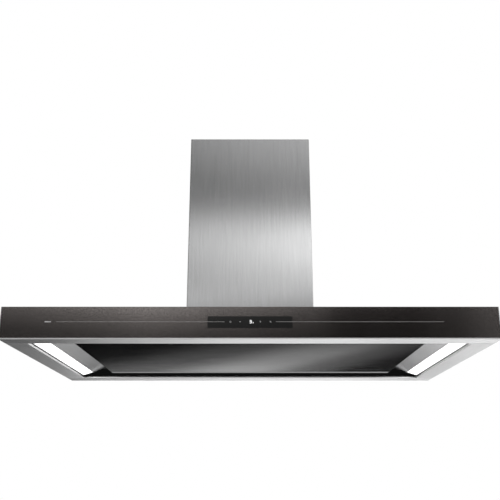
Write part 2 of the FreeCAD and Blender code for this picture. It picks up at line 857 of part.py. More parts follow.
def make_blower_housing():
    """Scroll housing with a round inlet on the right and a square neck up to the deck."""
    half = dims.blower_half_width
    wall = dims.blower_sheet
    back = dims.scroll_back
    radius = dims.scroll_radius
    neck = dims.neck_half_depth
    flange_low = -dims.deck_level - dims.grommet_height - wall
    outer = fuse(
        cylinder((-half - wall, back, scroll_z), "x", radius + wall, 2 * (half + wall)),
        box((-half - wall, -neck - wall, scroll_z), (half + wall, neck + wall, -dims.deck_level)),
        box((-half - dims.neck_flange, -neck - dims.neck_flange, flange_low),
            (half + dims.neck_flange, neck + dims.neck_flange, flange_low + wall)),
    )
    inside = fuse(
        cylinder((-half, back, scroll_z), "x", radius, 2 * half),
        box((-half, -neck, scroll_z), (half, neck, -dims.deck_level + wall)),
        cylinder((half - wall, back, scroll_z), "x", dims.inlet_radius, 3 * wall),
        cylinder((-half - 2 * wall, back, scroll_z), "x", dims.shaft_hole_radius, 3 * wall),
    )
    keep(cut(outer, inside), "blower_housing")


def make_grommets():
    """Rubber blocks between the blower's flange and the deck."""
    grommets = []
    x = dims.blower_half_width + (dims.blower_sheet + dims.neck_flange) / 2
    y = dims.neck_half_depth + (dims.blower_sheet + dims.neck_flange) / 2
    low = -dims.deck_level - dims.grommet_height
    for side in (-1, 1):
        for end in (-1, 1):
            place = (side * x, end * y, low)
            grommets.append(cylinder(place, "z", dims.grommet_radius, dims.grommet_height))
    keep(group(*grommets), "blower_grommets")


def make_blower_motor():
    """Motor can on the housing's left wall, bored for the shaft."""
    wall_x = -dims.blower_half_width - dims.blower_sheet
    back = dims.scroll_back
    can = cylinder((wall_x - dims.motor_length, back, scroll_z), "x", dims.motor_radius, dims.motor_length)
    bore = cylinder((wall_x - dims.motor_length / 2, back, scroll_z), "x",
                    dims.shaft_radius + dims.running_gap, dims.motor_length)
    keep(cut(can, bore), "blower_motor")


def make_impeller():
    """Drum of blades on a back plate, with the hub that grips the motor's shaft."""
    body = new_body("impeller")
    body.Placement.Rotation = AXIS_TURN["x"]
    bind(body, "Placement.Base.y", dims.scroll_back)
    bind(body, "Placement.Base.z", scroll_z)
    start = sized(dims.wheel_start)
    end = sized(dims.wheel_end)
    plate = dims.shell_sheet
    blade_inner = dims.wheel_radius - dims.blade_depth
    extrude(body, "Pad", "XY_Plane", start, start + plate,
            circles=[((0, 0), dims.wheel_radius), ((0, 0), dims.shaft_radius)])
    extrude(body, "Pad", "XY_Plane", start + plate, start + dims.hub_length,
            circles=[((0, 0), dims.hub_radius), ((0, 0), dims.shaft_radius)])
    extrude(body, "Pad", "XY_Plane", end - plate, end,
            circles=[((0, 0), dims.wheel_radius), ((0, 0), blade_inner)])
    inset = dims.blade_thick
    half = dims.blade_thick / 2
    blade = rectangle(blade_inner + inset, dims.wheel_radius - inset, -half, half)
    first_blade = extrude(body, "Pad", "XY_Plane", start + plate, end - plate, [blade])
    pattern = body.newObject("PartDesign::PolarPattern", "Blades")
    pattern.Originals = [first_blade]
    axis = next(f for f in body.Origin.OriginFeatures if f.Role == "Z_Axis")
    pattern.Axis = (axis, [""])
    pattern.Angle = 360
    bind(pattern, "Occurrences", dims.blade_count)
    body.Tip = pattern


def make_motor_shaft():
    """Steel shaft from inside the motor to the wheel's hub."""
    wall_x = -dims.blower_half_width - dims.blower_sheet
    start = wall_x - dims.motor_length / 2 + 1
    end = dims.wheel_start + dims.hub_length
    keep(cylinder((start, dims.scroll_back, scroll_z), "x", dims.shaft_radius, end - start), "motor_shaft")


def make_outlet_spigot():
    """Round collar for the duct, with a bar across it for the damper flaps."""
    outer = dims.spigot_radius
    inner = outer - dims.spigot_sheet
    height = dims.spigot_height
    bar_z = deck_top + dims.damper_lift
    shell = cut(
        fuse(cylinder((0, 0, deck_top), "z", outer, height),
             cylinder((0, 0, deck_top), "z", outer + dims.spigot_flange, dims.spigot_sheet)),
        cylinder((0, 0, deck_top - 1), "z", inner, height + 2),
    )
    bar = cylinder((-inner - dims.spigot_sheet / 2, 0, bar_z), "x", dims.damper_bar_radius,
                   2 * inner + dims.spigot_sheet)
    keep(fuse(shell, bar), "outlet_spigot")


def make_damper_flaps():
    """Two half-round back-draught flaps whose barrels alternate along the bar."""
    radius = dims.spigot_radius - dims.spigot_sheet - dims.damper_play
    bar_z = deck_top + dims.damper_lift
    thick = dims.damper_sheet
    barrel = dims.damper_barrel_radius
    split = dims.damper_split
    length = radius / 3
    starts = {"front": (-2 * length, length / 4), "rear": (-length + 1, length * 5 / 4 + 1)}
    for name, end in ENDS.items():
        span = ordered(end * split, end * (radius + 1))
        disc = cylinder((0, 0, bar_z - thick / 2), "z", radius, thick)
        half = box((-radius, span[0], bar_z - thick), (sized(radius), span[1], bar_z + thick))
        plate = doc.addObject("Part::MultiCommon", "HalfDisc")
        plate.Shapes = [disc, half]
        solids = [plate]
        bores = []
        for start in starts[name]:
            reach = ordered(end * barrel * 0.7, end * (split + 1))
            solids.append(cylinder((start, 0, bar_z), "x", barrel, length * 3 / 4))
            solids.append(box((start, reach[0], bar_z - thick / 2),
                              (start + length * 3 / 4, reach[1], bar_z + thick / 2)))
            bores.append(cylinder((start - 1, 0, bar_z), "x", dims.damper_bar_radius + dims.running_gap,
                                  length * 3 / 4 + 2))
        keep(cut(fuse(*solids), *bores), f"damper_flap_{name}")


# ---- electrics ----------------------------------------------------------------------------------

def make_electrics():
    """Power box with its cable gland, and the touch board behind the front glass."""
    low = (-dims.box_outer, -dims.box_depth / 2, tray_top)
    high = (dims.box_width - dims.box_outer, dims.box_depth / 2, tray_top + dims.box_height)
    wall = dims.box_wall
    inside = box([size + wall for size in low], [size - wall for size in high])
    gland_z = tray_top + dims.box_height / 2
    hole = cylinder((high[0] - 2 * wall, dims.gland_back, gland_z), "x", dims.gland_radius / 2, 3 * wall)
    keep(cut(box(low, high), inside, hole), "power_box")

    gland = cylinder((high[0], dims.gland_back, gland_z), "x", dims.gland_radius, dims.gland_length)
    bore = cylinder((high[0] - 1, dims.gland_back, gland_z), "x", dims.gland_radius / 2,
                    dims.gland_length + 2)
    keep(cut(gland, bore), "cable_gland")

    board = new_body("touch_board")
    half = dims.board_width / 2
    middle = bottom + dims.board_level
    outline = rectangle(-half, half, middle - dims.board_height / 2, middle + dims.board_height / 2)
    extrude(board, "Pad", "XZ_Plane", -glass_back, dims.board_thick - glass_back, [outline])


# ---- build and write ----------------------------------------------------------------------------

def check_document():
    """Stop if any object failed or any sub-part is empty or invalid."""
    for item in doc.Objects:
        if "Invalid" in item.State or "Error" in item.State:
            raise ValueError(f"{item.Name} failed: {item.State}")
    for piece in pieces:
        if piece.Shape.isNull() or not piece.Shape.isValid() or not piece.Shape.Solids:
            raise ValueError(f"{piece.Label} has no valid solid")


def write_pieces():
    """One STEP file per sub-part, named after it."""
    os.makedirs("parts", exist_ok=True)
    for piece in pieces:
        piece.Shape.exportStep(f"parts/{piece.Label}.step")
        print(f"{piece.Label}: {len(piece.Shape.Solids)} solid(s), {piece.Shape.Volume / 1000:.1f} cm3")


make_ceiling_plate()
make_uprights()
make_upper_brace_ring()
make_clamp_bolts()
make_frame_base_ring()
make_frame_bolts()
make_covers()
make_canopy_shell()
make_facia_glasses()
make_flanges()
make_lamps()
make_inner_panels()
make_suction_channels()
make_filter_tray()
make_suction_panel()
make_hinge_brackets()
make_hinge_pins()
make_magnets()
make_filters()
make_blower_deck()
make_blower_housing()
make_grommets()
make_blower_motor()
make_impeller()
make_motor_shaft()
make_outlet_spigot()
make_damper_flaps()
make_electrics()
doc.recompute()
check_document()
write_pieces()
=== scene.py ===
import math

import bmesh
import bpy
from mathutils import Matrix, Vector


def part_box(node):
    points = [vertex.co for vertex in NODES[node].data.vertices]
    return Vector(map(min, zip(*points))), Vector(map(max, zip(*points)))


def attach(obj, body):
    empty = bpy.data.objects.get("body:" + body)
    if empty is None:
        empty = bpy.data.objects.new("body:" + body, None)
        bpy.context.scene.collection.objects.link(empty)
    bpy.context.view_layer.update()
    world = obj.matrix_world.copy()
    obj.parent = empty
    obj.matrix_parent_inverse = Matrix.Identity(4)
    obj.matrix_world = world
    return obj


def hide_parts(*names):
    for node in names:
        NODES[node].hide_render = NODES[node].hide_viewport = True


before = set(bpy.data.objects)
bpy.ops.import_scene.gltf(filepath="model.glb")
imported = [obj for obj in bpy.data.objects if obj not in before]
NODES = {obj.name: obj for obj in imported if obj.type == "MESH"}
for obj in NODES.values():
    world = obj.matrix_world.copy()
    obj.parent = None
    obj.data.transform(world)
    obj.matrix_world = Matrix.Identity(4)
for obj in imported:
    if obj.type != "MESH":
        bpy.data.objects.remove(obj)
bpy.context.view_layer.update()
MM = 0.001
scene = bpy.context.scene


# ---------------------------------------------------------------- materials
class Finish:
    """A procedural material: one Principled shader and the nodes that vary it at real scale."""

    def __init__(self, name, **constants):
        self.material = bpy.data.materials.new(name)
        self.material.use_nodes = True
        self.tree = self.material.node_tree
        self.shader = self.tree.nodes["Principled BSDF"]
        self.place = self.tree.nodes.new("ShaderNodeTexCoord").outputs["Object"]
        self.bump = None
        for socket, value in constants.items():
            self.shader.inputs[socket.replace("_", " ")].default_value = value

    def node(self, kind, settings=None, **inputs):
        """A new node; inputs are values, or sockets to link from."""
        made = self.tree.nodes.new(kind)
        for key, value in (settings or {}).items():
            setattr(made, key, value)
        for key, value in inputs.items():
            socket = made.inputs[int(key[1:])] if key[1:].isdigit() else made.inputs[key.replace("_", " ")]
            if isinstance(value, bpy.types.NodeSocket):
                self.tree.links.new(value, socket)
            else:
                socket.default_value = value
        return made

    def link(self, output, socket):
        """Feeds one of the shader's own sockets."""
        self.tree.links.new(output, self.shader.inputs[socket])

    def stretched(self, per_metre, move=(0, 0, 0)):
        """The object's own coordinates, scaled on each axis."""
        return self.node("ShaderNodeMapping", Vector=self.place, Scale=per_metre, Location=move).outputs[0]

    def noise(self, per_metre, detail=3.0, roughness=0.55, move=(0, 0, 0)):
        """Cloudy noise, from 0 to 1, with about that many lumps to the metre on each axis."""
        if not hasattr(per_metre, "__len__"):
            per_metre = (per_metre,) * 3
        found = self.node("ShaderNodeTexNoise", Vector=self.stretched(per_metre, move), Scale=1.0,
                          Detail=detail, Roughness=roughness)
        return found.outputs["Fac"]

    def cells(self, per_metre):
        """A random number in each cell, with about that many cells to the metre."""
        found = self.node("ShaderNodeTexVoronoi", Vector=self.stretched((per_metre,) * 3), Scale=1.0)
        return self.node("ShaderNodeSeparateColor", Color=found.outputs["Color"]).outputs[0]

    def between(self, value, low, high, from_low=0.0, from_high=1.0):
        """value taken from one range to another, without going outside it."""
        return self.node("ShaderNodeMapRange", {"clamp": True}, Value=value, From_Min=from_low,
                         From_Max=from_high, To_Min=low, To_Max=high).outputs[0]

    def sum(self, first, second, how="ADD"):
        """Two values added, or combined in another way."""
        return self.node("ShaderNodeMath", {"operation": how}, _0=first, _1=second).outputs[0]

    def mix(self, share, first, second):
        """Two colours mixed by share."""
        first, second = [(*c, 1.0) if isinstance(c, tuple) else c for c in (first, second)]
        return self.node("ShaderNodeMix", {"data_type": "RGBA"}, _0=share, _6=first, _7=second).outputs[2]

    def colour(self, share, low, high):
        """The base colour, from low to high as share goes from 0 to 1."""
        self.link(self.mix(share, low, high), "Base Color")

    def relief(self, height, distance, strength=1.0):
        """Bump of that real depth, added to any that is there."""
        made = self.node("ShaderNodeBump", Height=height, Distance=distance, Strength=strength)
        if self.bump:
            self.tree.links.new(self.bump, made.inputs["Normal"])
        self.bump = made.outputs[0]
        self.link(self.bump, "Normal")

    def edge_wear(self, radius=0.7):
        """1 along the edges that hands and dirt rub, 0 on flats; the radius is in millimetres."""
        soft = self.node("ShaderNodeBevel", {"samples": 4}, Radius=radius * MM).outputs[0]
        true = self.node("ShaderNodeNewGeometry").outputs["Normal"]
        match = self.node("ShaderNodeVectorMath", {"operation": "DOT_PRODUCT"}, _0=soft, _1=true).outputs["Value"]
        return self.between(match, 1.0, 0.0, 0.86, 0.985)


def shade(colour, factor):
    """A lighter or darker shade of a colour."""
    return tuple(min(1.0, c * factor) for c in colour)


def brushed(name, along, other, colour, rough, anisotropy, contrast=1.0):
    """Stainless steel with its grain along one axis (0, 1 or 2), and along another on the faces across that axis."""
    m = Finish(name, Metallic=1.0, Anisotropic=anisotropy)
    normal = m.node("ShaderNodeNewGeometry").outputs["Normal"]
    facing = m.node("ShaderNodeSeparateXYZ", Vector=normal).outputs[along]
    turned = m.sum(m.sum(facing, 0.0, "ABSOLUTE"), 0.7, "GREATER_THAN")

    def per_face(first, second):
        return m.node("ShaderNodeMix", {"data_type": "VECTOR"}, _0=turned, _4=first, _5=second).outputs[1]

    def grained(across, lengthwise, roughness, move):
        scales = []
        for axis in (along, other):
            scale = [across] * 3
            scale[axis] = lengthwise
            scales.append(tuple(scale))
        place = m.node("ShaderNodeVectorMath", {"operation": "MULTIPLY"}, _0=m.place, _1=per_face(*scales)).outputs[0]
        place = m.node("ShaderNodeVectorMath", {"operation": "ADD"}, _0=place, _1=move).outputs[0]
        return m.node("ShaderNodeTexNoise", Vector=place, Scale=1.0, Detail=4.0, Roughness=roughness).outputs["Fac"]

    hair = grained(1700.0, 16.0, 0.75, (0.0, 0.0, 0.0))
    streak = grained(250.0, 9.0, 0.8, (3.1, 1.7, 5.3))
    cloud = m.noise(5.0, detail=2.0, move=(9.0, 2.0, 4.0))
    both = m.sum(m.between(hair, 0.0, 0.45, 0.3, 0.7), m.between(streak, 0.0, 0.55, 0.3, 0.7))
    m.colour(both, shade(colour, 1 - 0.17 * contrast), shade(colour, 1 + 0.16 * contrast))
    rubbed = m.between(hair, -0.02, 0.02, 0.3, 0.7)
    smudge = m.between(cloud, -0.012, 0.018, 0.35, 0.7)
    m.link(m.sum(m.sum(rubbed, smudge), rough), "Roughness")
    m.relief(hair, 0.006 * MM, 0.5 * contrast)
    axes = [tuple(1.0 if k == axis else 0.0 for k in range(3)) for axis in (along, other)]
    across = m.node("ShaderNodeVectorMath", {"operation": "CROSS_PRODUCT"}, _0=normal, _1=per_face(*axes)).outputs[0]
    m.tree.links.new(across, m.shader.inputs["Tangent"])
    return m.material


def galvanised(name):
    """Zinc-coated sheet with its spangle and a little white bloom."""
    m = Finish(name, Metallic=0.95)
    colour = (0.55, 0.57, 0.58)
    tone = m.cells(140.0)
    cloud = m.noise(26.0, detail=4.0)
    m.colour(m.sum(m.between(tone, 0.0, 0.6), m.between(cloud, 0.0, 0.4, 0.35, 0.65)),
             shade(colour, 0.78), shade(colour, 1.12))
    m.link(m.sum(m.between(tone, 0.30, 0.46), m.between(cloud, -0.03, 0.1, 0.4, 0.7)), "Roughness")
    m.relief(m.noise(900.0, detail=3.0), 0.01 * MM, 0.5)
    return m.material


def painted(name, colour, rough=0.45, coat=0.0, spec=0.5):
    """Powder coat or paint with orange peel, dust and rubbed edges."""
    m = Finish(name, Coat_Weight=coat, Coat_Roughness=0.12, Specular_IOR_Level=spec)
    dust = m.noise(34.0, detail=5.0)
    peel = m.noise(1400.0, detail=2.0)
    base = m.mix(m.between(dust, 0.0, 1.0, 0.35, 0.75), shade(colour, 0.86), shade(colour, 1.18))
    rub = m.sum(m.edge_wear(), m.between(m.noise(160.0, detail=4.0), 0.0, 0.5, 0.45, 0.65), "MULTIPLY")
    m.link(m.mix(rub, base, tuple(min(1.0, 0.03 + c * 2.2) for c in colour)), "Base Color")
    m.link(m.sum(m.between(dust, -0.05, 0.1, 0.3, 0.7), rough), "Roughness")
    m.relief(peel, 0.03 * MM, 0.5)
    return m.material


def moulded(name, colour, rough=0.5, spec=0.5):
    """Injection-moulded plastic or rubber with a fine spark-eroded grain."""
    m = Finish(name, Specular_IOR_Level=spec)
    lumps = m.noise(2600.0, detail=3.0)
    dust = m.noise(60.0, detail=4.0)
    m.colour(m.between(dust, 0.0, 1.0, 0.35, 0.7), shade(colour, 0.85), shade(colour, 1.25))
    m.link(m.sum(m.between(lumps, -0.05, 0.06), rough), "Roughness")
    m.relief(lumps, 0.03 * MM, 0.6)
    return m.material


def bright_metal(name, colour=(0.68, 0.68, 0.67), rough=0.22):
    """Zinc-plated or turned metal with fine scratches."""
    m = Finish(name, Metallic=1.0)
    scuffs = m.noise((700.0, 700.0, 140.0), detail=4.0)
    spots = m.noise(220.0, detail=3.0)
    m.colour(spots, shade(colour, 0.86), shade(colour, 1.08))
    m.link(m.sum(m.between(scuffs, -0.06, 0.12, 0.3, 0.7), rough), "Roughness")
    m.relief(scuffs, 0.01 * MM, 0.6)
    return m.material


def facia_glass(name):
    """Toughened glass, printed behind with a dark bronze that has fine metal flakes in it."""
    m = Finish(name, Metallic=0.92, Coat_Weight=0.5, Coat_Roughness=0.04, Coat_IOR=1.5)
    flakes = m.cells(1250.0)
    coarse = m.noise(260.0, detail=4.0, roughness=0.8)
    cloud = m.noise(7.0, detail=3.0)
    sparkle = m.sum(m.between(flakes, 0.0, 0.45, 0.5, 1.0), m.between(coarse, 0.0, 0.85, 0.35, 0.65))
    m.colour(sparkle, (0.052, 0.0465, 0.044), (0.236, 0.211, 0.202))
    m.link(m.sum(m.between(flakes, 0.06, 0.09), m.between(cloud, -0.008, 0.012, 0.3, 0.7)), "Roughness")
    m.relief(coarse, 0.004 * MM, 0.4)
    return m.material


def black_glass(name, colour=(0.0035, 0.0036, 0.0038), rough=0.05):
    """Plain black toughened glass with the faint ripple of the furnace rollers."""
    m = Finish(name, IOR=1.42)
    ripple = m.noise((4.0, 16.0, 1.0), detail=2.0)
    wiped = m.noise((14.0, 60.0, 5.0), detail=4.0, roughness=0.6)
    m.colour(wiped, shade(colour, 0.75), shade(colour, 1.3))
    m.link(m.between(wiped, rough - 0.02, rough + 0.02, 0.35, 0.75), "Roughness")
    m.relief(ripple, 0.02 * MM, 0.5)
    return m.material


def glowing(name, colour, strength, grain=260.0):
    """Opal acrylic lit from behind, with the soft unevenness of the lamps."""
    m = Finish(name, Roughness=0.3, Subsurface_Weight=0.0)
    m.shader.inputs["Emission Strength"].default_value = strength
    uneven = m.noise(grain, detail=2.0)
    m.link(m.mix(uneven, shade(colour, 0.94), colour), "Emission Color")
    m.colour(uneven, (0.86, 0.87, 0.88), (0.93, 0.93, 0.93))
    m.relief(m.noise(1800.0), 0.01 * MM, 0.4)
    return m.material


STEEL = (0.605, 0.607, 0.61)
cover_steel = brushed("steel_grain_z", 2, 0, STEEL, rough=0.215, anisotropy=0.9, contrast=0.6)
steel_x = brushed("steel_grain_x", 0, 1, STEEL, rough=0.30, anisotropy=0.4)
steel_y = brushed("steel_grain_y", 1, 0, STEEL, rough=0.30, anisotropy=0.4)
# The inner panels are the same steel darkened to 0.72 of its colour: painted shade for the panels that sit in the
# shadow of the recess.
steel_painted_shade = brushed("steel_inner_panel_painted_shade", 1, 0, shade(STEEL, 0.72), rough=0.22, anisotropy=0.4)
zinc = galvanised("galvanised_sheet")
bolt_metal = bright_metal("zinc_plated_bolts")
facia = facia_glass("bronze_facia_glass")
glass = black_glass("black_suction_glass")
# Near black with almost no gloss. On the suction channels it is painted shade for the shadow deep in the recess behind
# the glass; on the filter tray it is a black coat.
black_coat_and_painted_shade = painted("black_coat_and_painted_shade_finish", (0.0018, 0.0018, 0.0019), rough=0.7, spec=0.06)
pan_paint = painted("dark_grey_powder_coat", (0.022, 0.022, 0.023), rough=0.4)
lamp_metal = bright_metal("extruded_aluminium", (0.74, 0.745, 0.75), rough=0.32)
filter_metal = bright_metal("filter_aluminium", (0.72, 0.725, 0.735), rough=0.3)
opal = glowing("opal_acrylic_lit", (1.0, 0.99, 0.975), 1.25)
board_green = painted("board_white_mask", (0.68, 0.70, 0.69), rough=0.35, coat=0.2)
touch_green = painted("board_green_mask", (0.012, 0.075, 0.035), rough=0.35, coat=0.3)
rubber = moulded("black_rubber", (0.013, 0.013, 0.0135), rough=0.68, spec=0.35)
motor_paint = painted("motor_black_enamel", (0.028, 0.029, 0.031), rough=0.38, coat=0.3)
black_plastic = moulded("black_moulding", (0.016, 0.016, 0.0165), rough=0.46)
magnet_metal = bright_metal("nickel_magnet", (0.6, 0.6, 0.58), rough=0.2)
window_black = black_glass("control_window_black", (0.010, 0.0098, 0.0096), rough=0.10)
grey_print = moulded("grey_screen_print", (0.25, 0.245, 0.24), rough=0.45)
pale_print = moulded("pale_screen_print", (0.42, 0.42, 0.42), rough=0.4)
chip_yellow = moulded("led_phosphor", (0.75, 0.62, 0.18), rough=0.35)
lit_digit = glowing("digit_lit", (1.0, 1.0, 1.0), 0.9, grain=900.0)
dim_digit = moulded("digit_unlit", (0.05, 0.05, 0.05), rough=0.4)


def paint(material, *names):
    """Gives CAD nodes, or pieces, a material in every slot."""
    for name in names:
        piece = NODES[name] if isinstance(name, str) else name
        if not piece.material_slots:
            piece.data.materials.append(material)
        for each in piece.material_slots:
            each.material = material


SIDES = ("left", "right")
ENDS = ("front", "rear")
CORNERS = [f"{end}_{side}" for end in ENDS for side in SIDES]
paint(zinc, "ceiling_plate", "upper_brace_ring", "frame_base_ring", "blower_deck", "blower_housing",
      "hinge_brackets", *[f"{level}_upright_{c}" for level in ("upper", "lower") for c in CORNERS])
paint(cover_steel, *[f"{level}_cover_{end}" for level in ("upper", "lower") for end in ENDS])
paint(steel_x, "canopy_shell", "flange_front", "flange_rear")
paint(steel_y, "flange_left", "flange_right")
# painted shade: the inner panels get the darkened copy of the steel
paint(steel_painted_shade, "inner_panel_left", "inner_panel_right")
paint(bolt_metal, "upper_cover_screws", "lower_cover_screws", "frame_bolts", "height_clamp_bolts", "hinge_pins",
      "motor_shaft")
paint(facia, "front_glass", "rear_glass")
paint(glass, "suction_glass")
# painted shade: the suction channels are near black to stand in for the shadow in the recess
paint(black_coat_and_painted_shade, "suction_channel_front", "suction_channel_rear", "filter_tray")
paint(pan_paint, "suction_pan")
paint(lamp_metal, "led_housing_left", "led_housing_right")
paint(filter_metal, *[f"filter_{part}_{side}" for part in ("frame", "mesh") for side in SIDES])
paint(black_plastic, "filter_latch_left", "filter_latch_right", "power_box", "cable_gland", "impeller",
      "outlet_spigot", "damper_flap_front", "damper_flap_rear")
paint(opal, "led_diffuser_left", "led_diffuser_right")
paint(board_green, "led_board_left", "led_board_right")
paint(touch_green, "touch_board")
paint(rubber, "blower_grommets")
paint(motor_paint, "blower_motor")
paint(magnet_metal, "panel_magnets")


# ---------------------------------------------------------------- mesh pieces
def on_axis(axis, u, v, w):
    """A point from two places across an axis (0, 1 or 2) and one along it."""
    return ((w, u, v), (u, w, v), (u, v, w))[axis]


def turned_to(direction):
    """The turn that takes Z to a direction."""
    return Vector((0, 0, 1)).rotation_difference(Vector(direction)).to_matrix()


def ring(centre, turn, radius, height, steps, lobe=0.0):
    """Points round an axis at a height along it; lobe is the share by which six points stand out."""
    points = []
    for k in range(steps):
        angle = 2 * math.pi * k / steps
        r = radius * (1 + lobe * math.cos(6 * angle))
        points.append(Vector(centre) + turn @ Vector((r * math.cos(angle), r * math.sin(angle), height)))
    return points


class Piece:
    """One mesh put together in the frame's own place, in millimetres."""

    def __init__(self):
        self.shape = bmesh.new()

    def bevel(self, verts, size, segments=2, sharper_than=25.0):
        """Rounds the sharp edges between these vertices."""
        mine = set(verts)
        edges = {e for v in verts for e in v.link_edges if e.other_vert(v) in mine and len(e.link_faces) == 2}
        sharp = [e for e in edges if e.calc_face_angle(0.0) > math.radians(sharper_than)]
        bmesh.ops.bevel(self.shape, geom=sharp, offset=size, segments=segments, affect="EDGES", profile=0.5)

    def box(self, low, high, round_by=0.0, segments=2):
        """A block between two corners."""
        verts = bmesh.ops.create_cube(self.shape, size=1.0)["verts"]
        for v in verts:
            v.co = Vector([a + (c + 0.5) * (b - a) for a, b, c in zip(low, high, v.co)])
        if round_by:
            self.bevel(verts, round_by, segments)
        return self

    def prism(self, outline, axis, start, end, round_by=0.0, segments=2, sharper_than=25.0):
        """A closed outline across an axis, drawn out along it."""
        rows = [[self.shape.verts.new(on_axis(axis, u, v, w)) for u, v in outline] for w in (start, end)]
        for row in rows:
            self.shape.faces.new(row)
        for k in range(len(outline)):
            n = (k + 1) % len(outline)
            self.shape.faces.new((rows[0][k], rows[0][n], rows[1][n], rows[1][k]))
        bmesh.ops.recalc_face_normals(self.shape, faces=list({f for v in rows[0] + rows[1] for f in v.link_faces}))
        if round_by:
            self.bevel(rows[0] + rows[1], round_by, segments, sharper_than)
        return self

    def rings(self, rows):
        """Joins rings that have the same number of points, and closes the ends; a ring of one point is a pole."""
        made = [[self.shape.verts.new(p) for p in row] for row in rows]
        for a, b in zip(made, made[1:]):
            count = max(len(a), len(b))
            for k in range(count):
                n = (k + 1) % count
                corners = [a[k % len(a)], a[n % len(a)], b[n % len(b)], b[k % len(b)]]
                self.shape.faces.new(list(dict.fromkeys(corners)))
        for row in (made[0], made[-1]):
            if len(row) > 2:
                self.shape.faces.new(row)
        return self

    def lathe(self, profile, centre, direction=(0, 0, 1), steps=32, lobes=None):
        """A profile of (radius, height) turned about an axis; lobes is {row: share} for rows that are star shaped."""
        turn = turned_to(direction)
        rows = []
        for row, (radius, height) in enumerate(profile):
            if radius:
                rows.append(ring(centre, turn, radius, height, steps, (lobes or {}).get(row, 0.0)))
            else:
                rows.append([Vector(centre) + turn @ Vector((0, 0, height))])
        return self.rings(rows)

    def screw(self, centre, direction, head, height, shank=0.0, shank_radius=0.0):
        """A flat pan-headed screw with a six-lobed recess; the head's seat is at centre."""
        rim = [(0.97, 0.0), (1.0, 0.18), (0.99, 0.45), (0.88, 0.82), (0.66, 1.0)]
        recess = [(0.46, 1.0), (0.42, 0.93), (0.40, 0.3), (0.0, 0.22)]
        profile = [(shank_radius, -shank), (shank_radius, 0.0)] if shank else []
        first = len(profile) + len(rim)
        profile += [(head * r, height * z) for r, z in rim + recess]
        return self.lathe(profile, centre, direction, 36, {first: 0.12, first + 1: 0.14, first + 2: 0.14})

    def hexagon(self, centre, direction, across, height, bore=0.0):
        """A hexagon nut or head with turned corners; its seat is at centre."""
        turn = turned_to(direction)
        corner = across / math.sqrt(3)
        rows = [(0.93, 0.0), (1.0, 0.12), (1.0, 0.86), (0.9, 1.0)]
        rows += [(bore / corner, 1.0)] if bore else [(0.86, 1.0), (0.72, 0.94)]
        return self.rings([ring(centre, turn, corner * share, z * height, 6) for share, z in rows])

    def done(self, name, body, slot, material, *stands_for, smooth=35.0):
        """The finished object, riding on its body."""
        bmesh.ops.recalc_face_normals(self.shape, faces=self.shape.faces)
        mesh = bpy.data.meshes.new(name)
        self.shape.to_mesh(mesh)
        self.shape.free()
        return settle(mesh, name, body, material, stands_for, smooth)


def settle(mesh, name, body, material, stands_for=(), smooth=35.0):
    """Puts a mesh that is in millimetres into the scene."""
    mesh.transform(Matrix.Scale(MM, 4))
    for face in mesh.polygons:
        face.use_smooth = True
    mesh.set_sharp_from_angle(angle=math.radians(smooth))
    piece = bpy.data.objects.new(name, mesh)
    scene.collection.objects.link(piece)
    mesh.materials.append(material)
    normals = piece.modifiers.new("flat_faces_stay_flat", "WEIGHTED_NORMAL")
    normals.keep_sharp, normals.weight = True, 100
    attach(piece, body)
    if stands_for:
        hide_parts(*stands_for)
    return piece


def mm(node):
    """A CAD node's lowest and highest corners, in millimetres."""
    low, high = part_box(node)
    return low / MM, high / MM


def solids(node):
    """The lowest and highest corners of each separate solid of a CAD node, in millimetres."""
    copy = bmesh.new()
    copy.from_mesh(NODES[node].data)
    bmesh.ops.remove_doubles(copy, verts=copy.verts, dist=1e-6)
    seen, found = set(), []
    for vert in copy.verts:
        if vert in seen:
            continue
        queue, mine = [vert], []
        seen.add(vert)
        while queue:
            at = queue.pop()
            mine.append(at.co / MM)
            for edge in at.link_edges:
                other = edge.other_vert(at)
                if other not in seen:
                    seen.add(other)
                    queue.append(other)
        found.append((Vector([min(p[i] for p in mine) for i in range(3)]),
                      Vector([max(p[i] for p in mine) for i in range(3)])))
    copy.free()
    return found


def bent(path, thick, radius, steps):
    """The closed outline of a sheet of that thickness that follows a path with rounded bends."""
    line = [Vector(path[0])]
    for before, at, after in zip(path, path[1:], path[2:]):
        before, at, after = Vector(before), Vector(at), Vector(after)
        into, out = (before - at).normalized(), (after - at).normalized()
        half = into.angle(out) / 2
        reach = min(radius / math.tan(half), (before - at).length * 0.49, (after - at).length * 0.49)
        r = reach * math.tan(half)
        middle = at + (into + out).normalized() * (r / math.sin(half))
        start, end = at + into * reach - middle, at + out * reach - middle
        turn = start.angle_signed(end)
        for k in range(steps + 1):
            angle = -turn * k / steps
            line.append(middle + Vector((start.x * math.cos(angle) - start.y * math.sin(angle),
                                         start.x * math.sin(angle) + start.y * math.cos(angle))))
    line.append(Vector(path[-1]))
    sides = ([], [])
    for k, at in enumerate(line):
        along = (line[min(k + 1, len(line) - 1)] - line[max(k - 1, 0)]).normalized()
        across = Vector((-along.y, along.x)) * thick / 2
        sides[0].append(tuple(at + across))
        sides[1].append(tuple(at - across))
    return sides[0] + sides[1][::-1]


def rounded(low, high, radius, steps=5):
    """A rectangle's outline with rounded corners."""
    (x0, y0), (x1, y1) = low, high
    points = []
    for cx, cy, first in ((x1 - radius, y1 - radius, 0), (x0 + radius, y1 - radius, 90),
                          (x0 + radius, y0 + radius, 180), (x1 - radius, y0 + radius, 270)):
        for k in range(steps + 1):
            angle = math.radians(first + 90 * k / steps)
            points.append((cx + radius * math.cos(angle), cy + radius * math.sin(angle)))
    return points


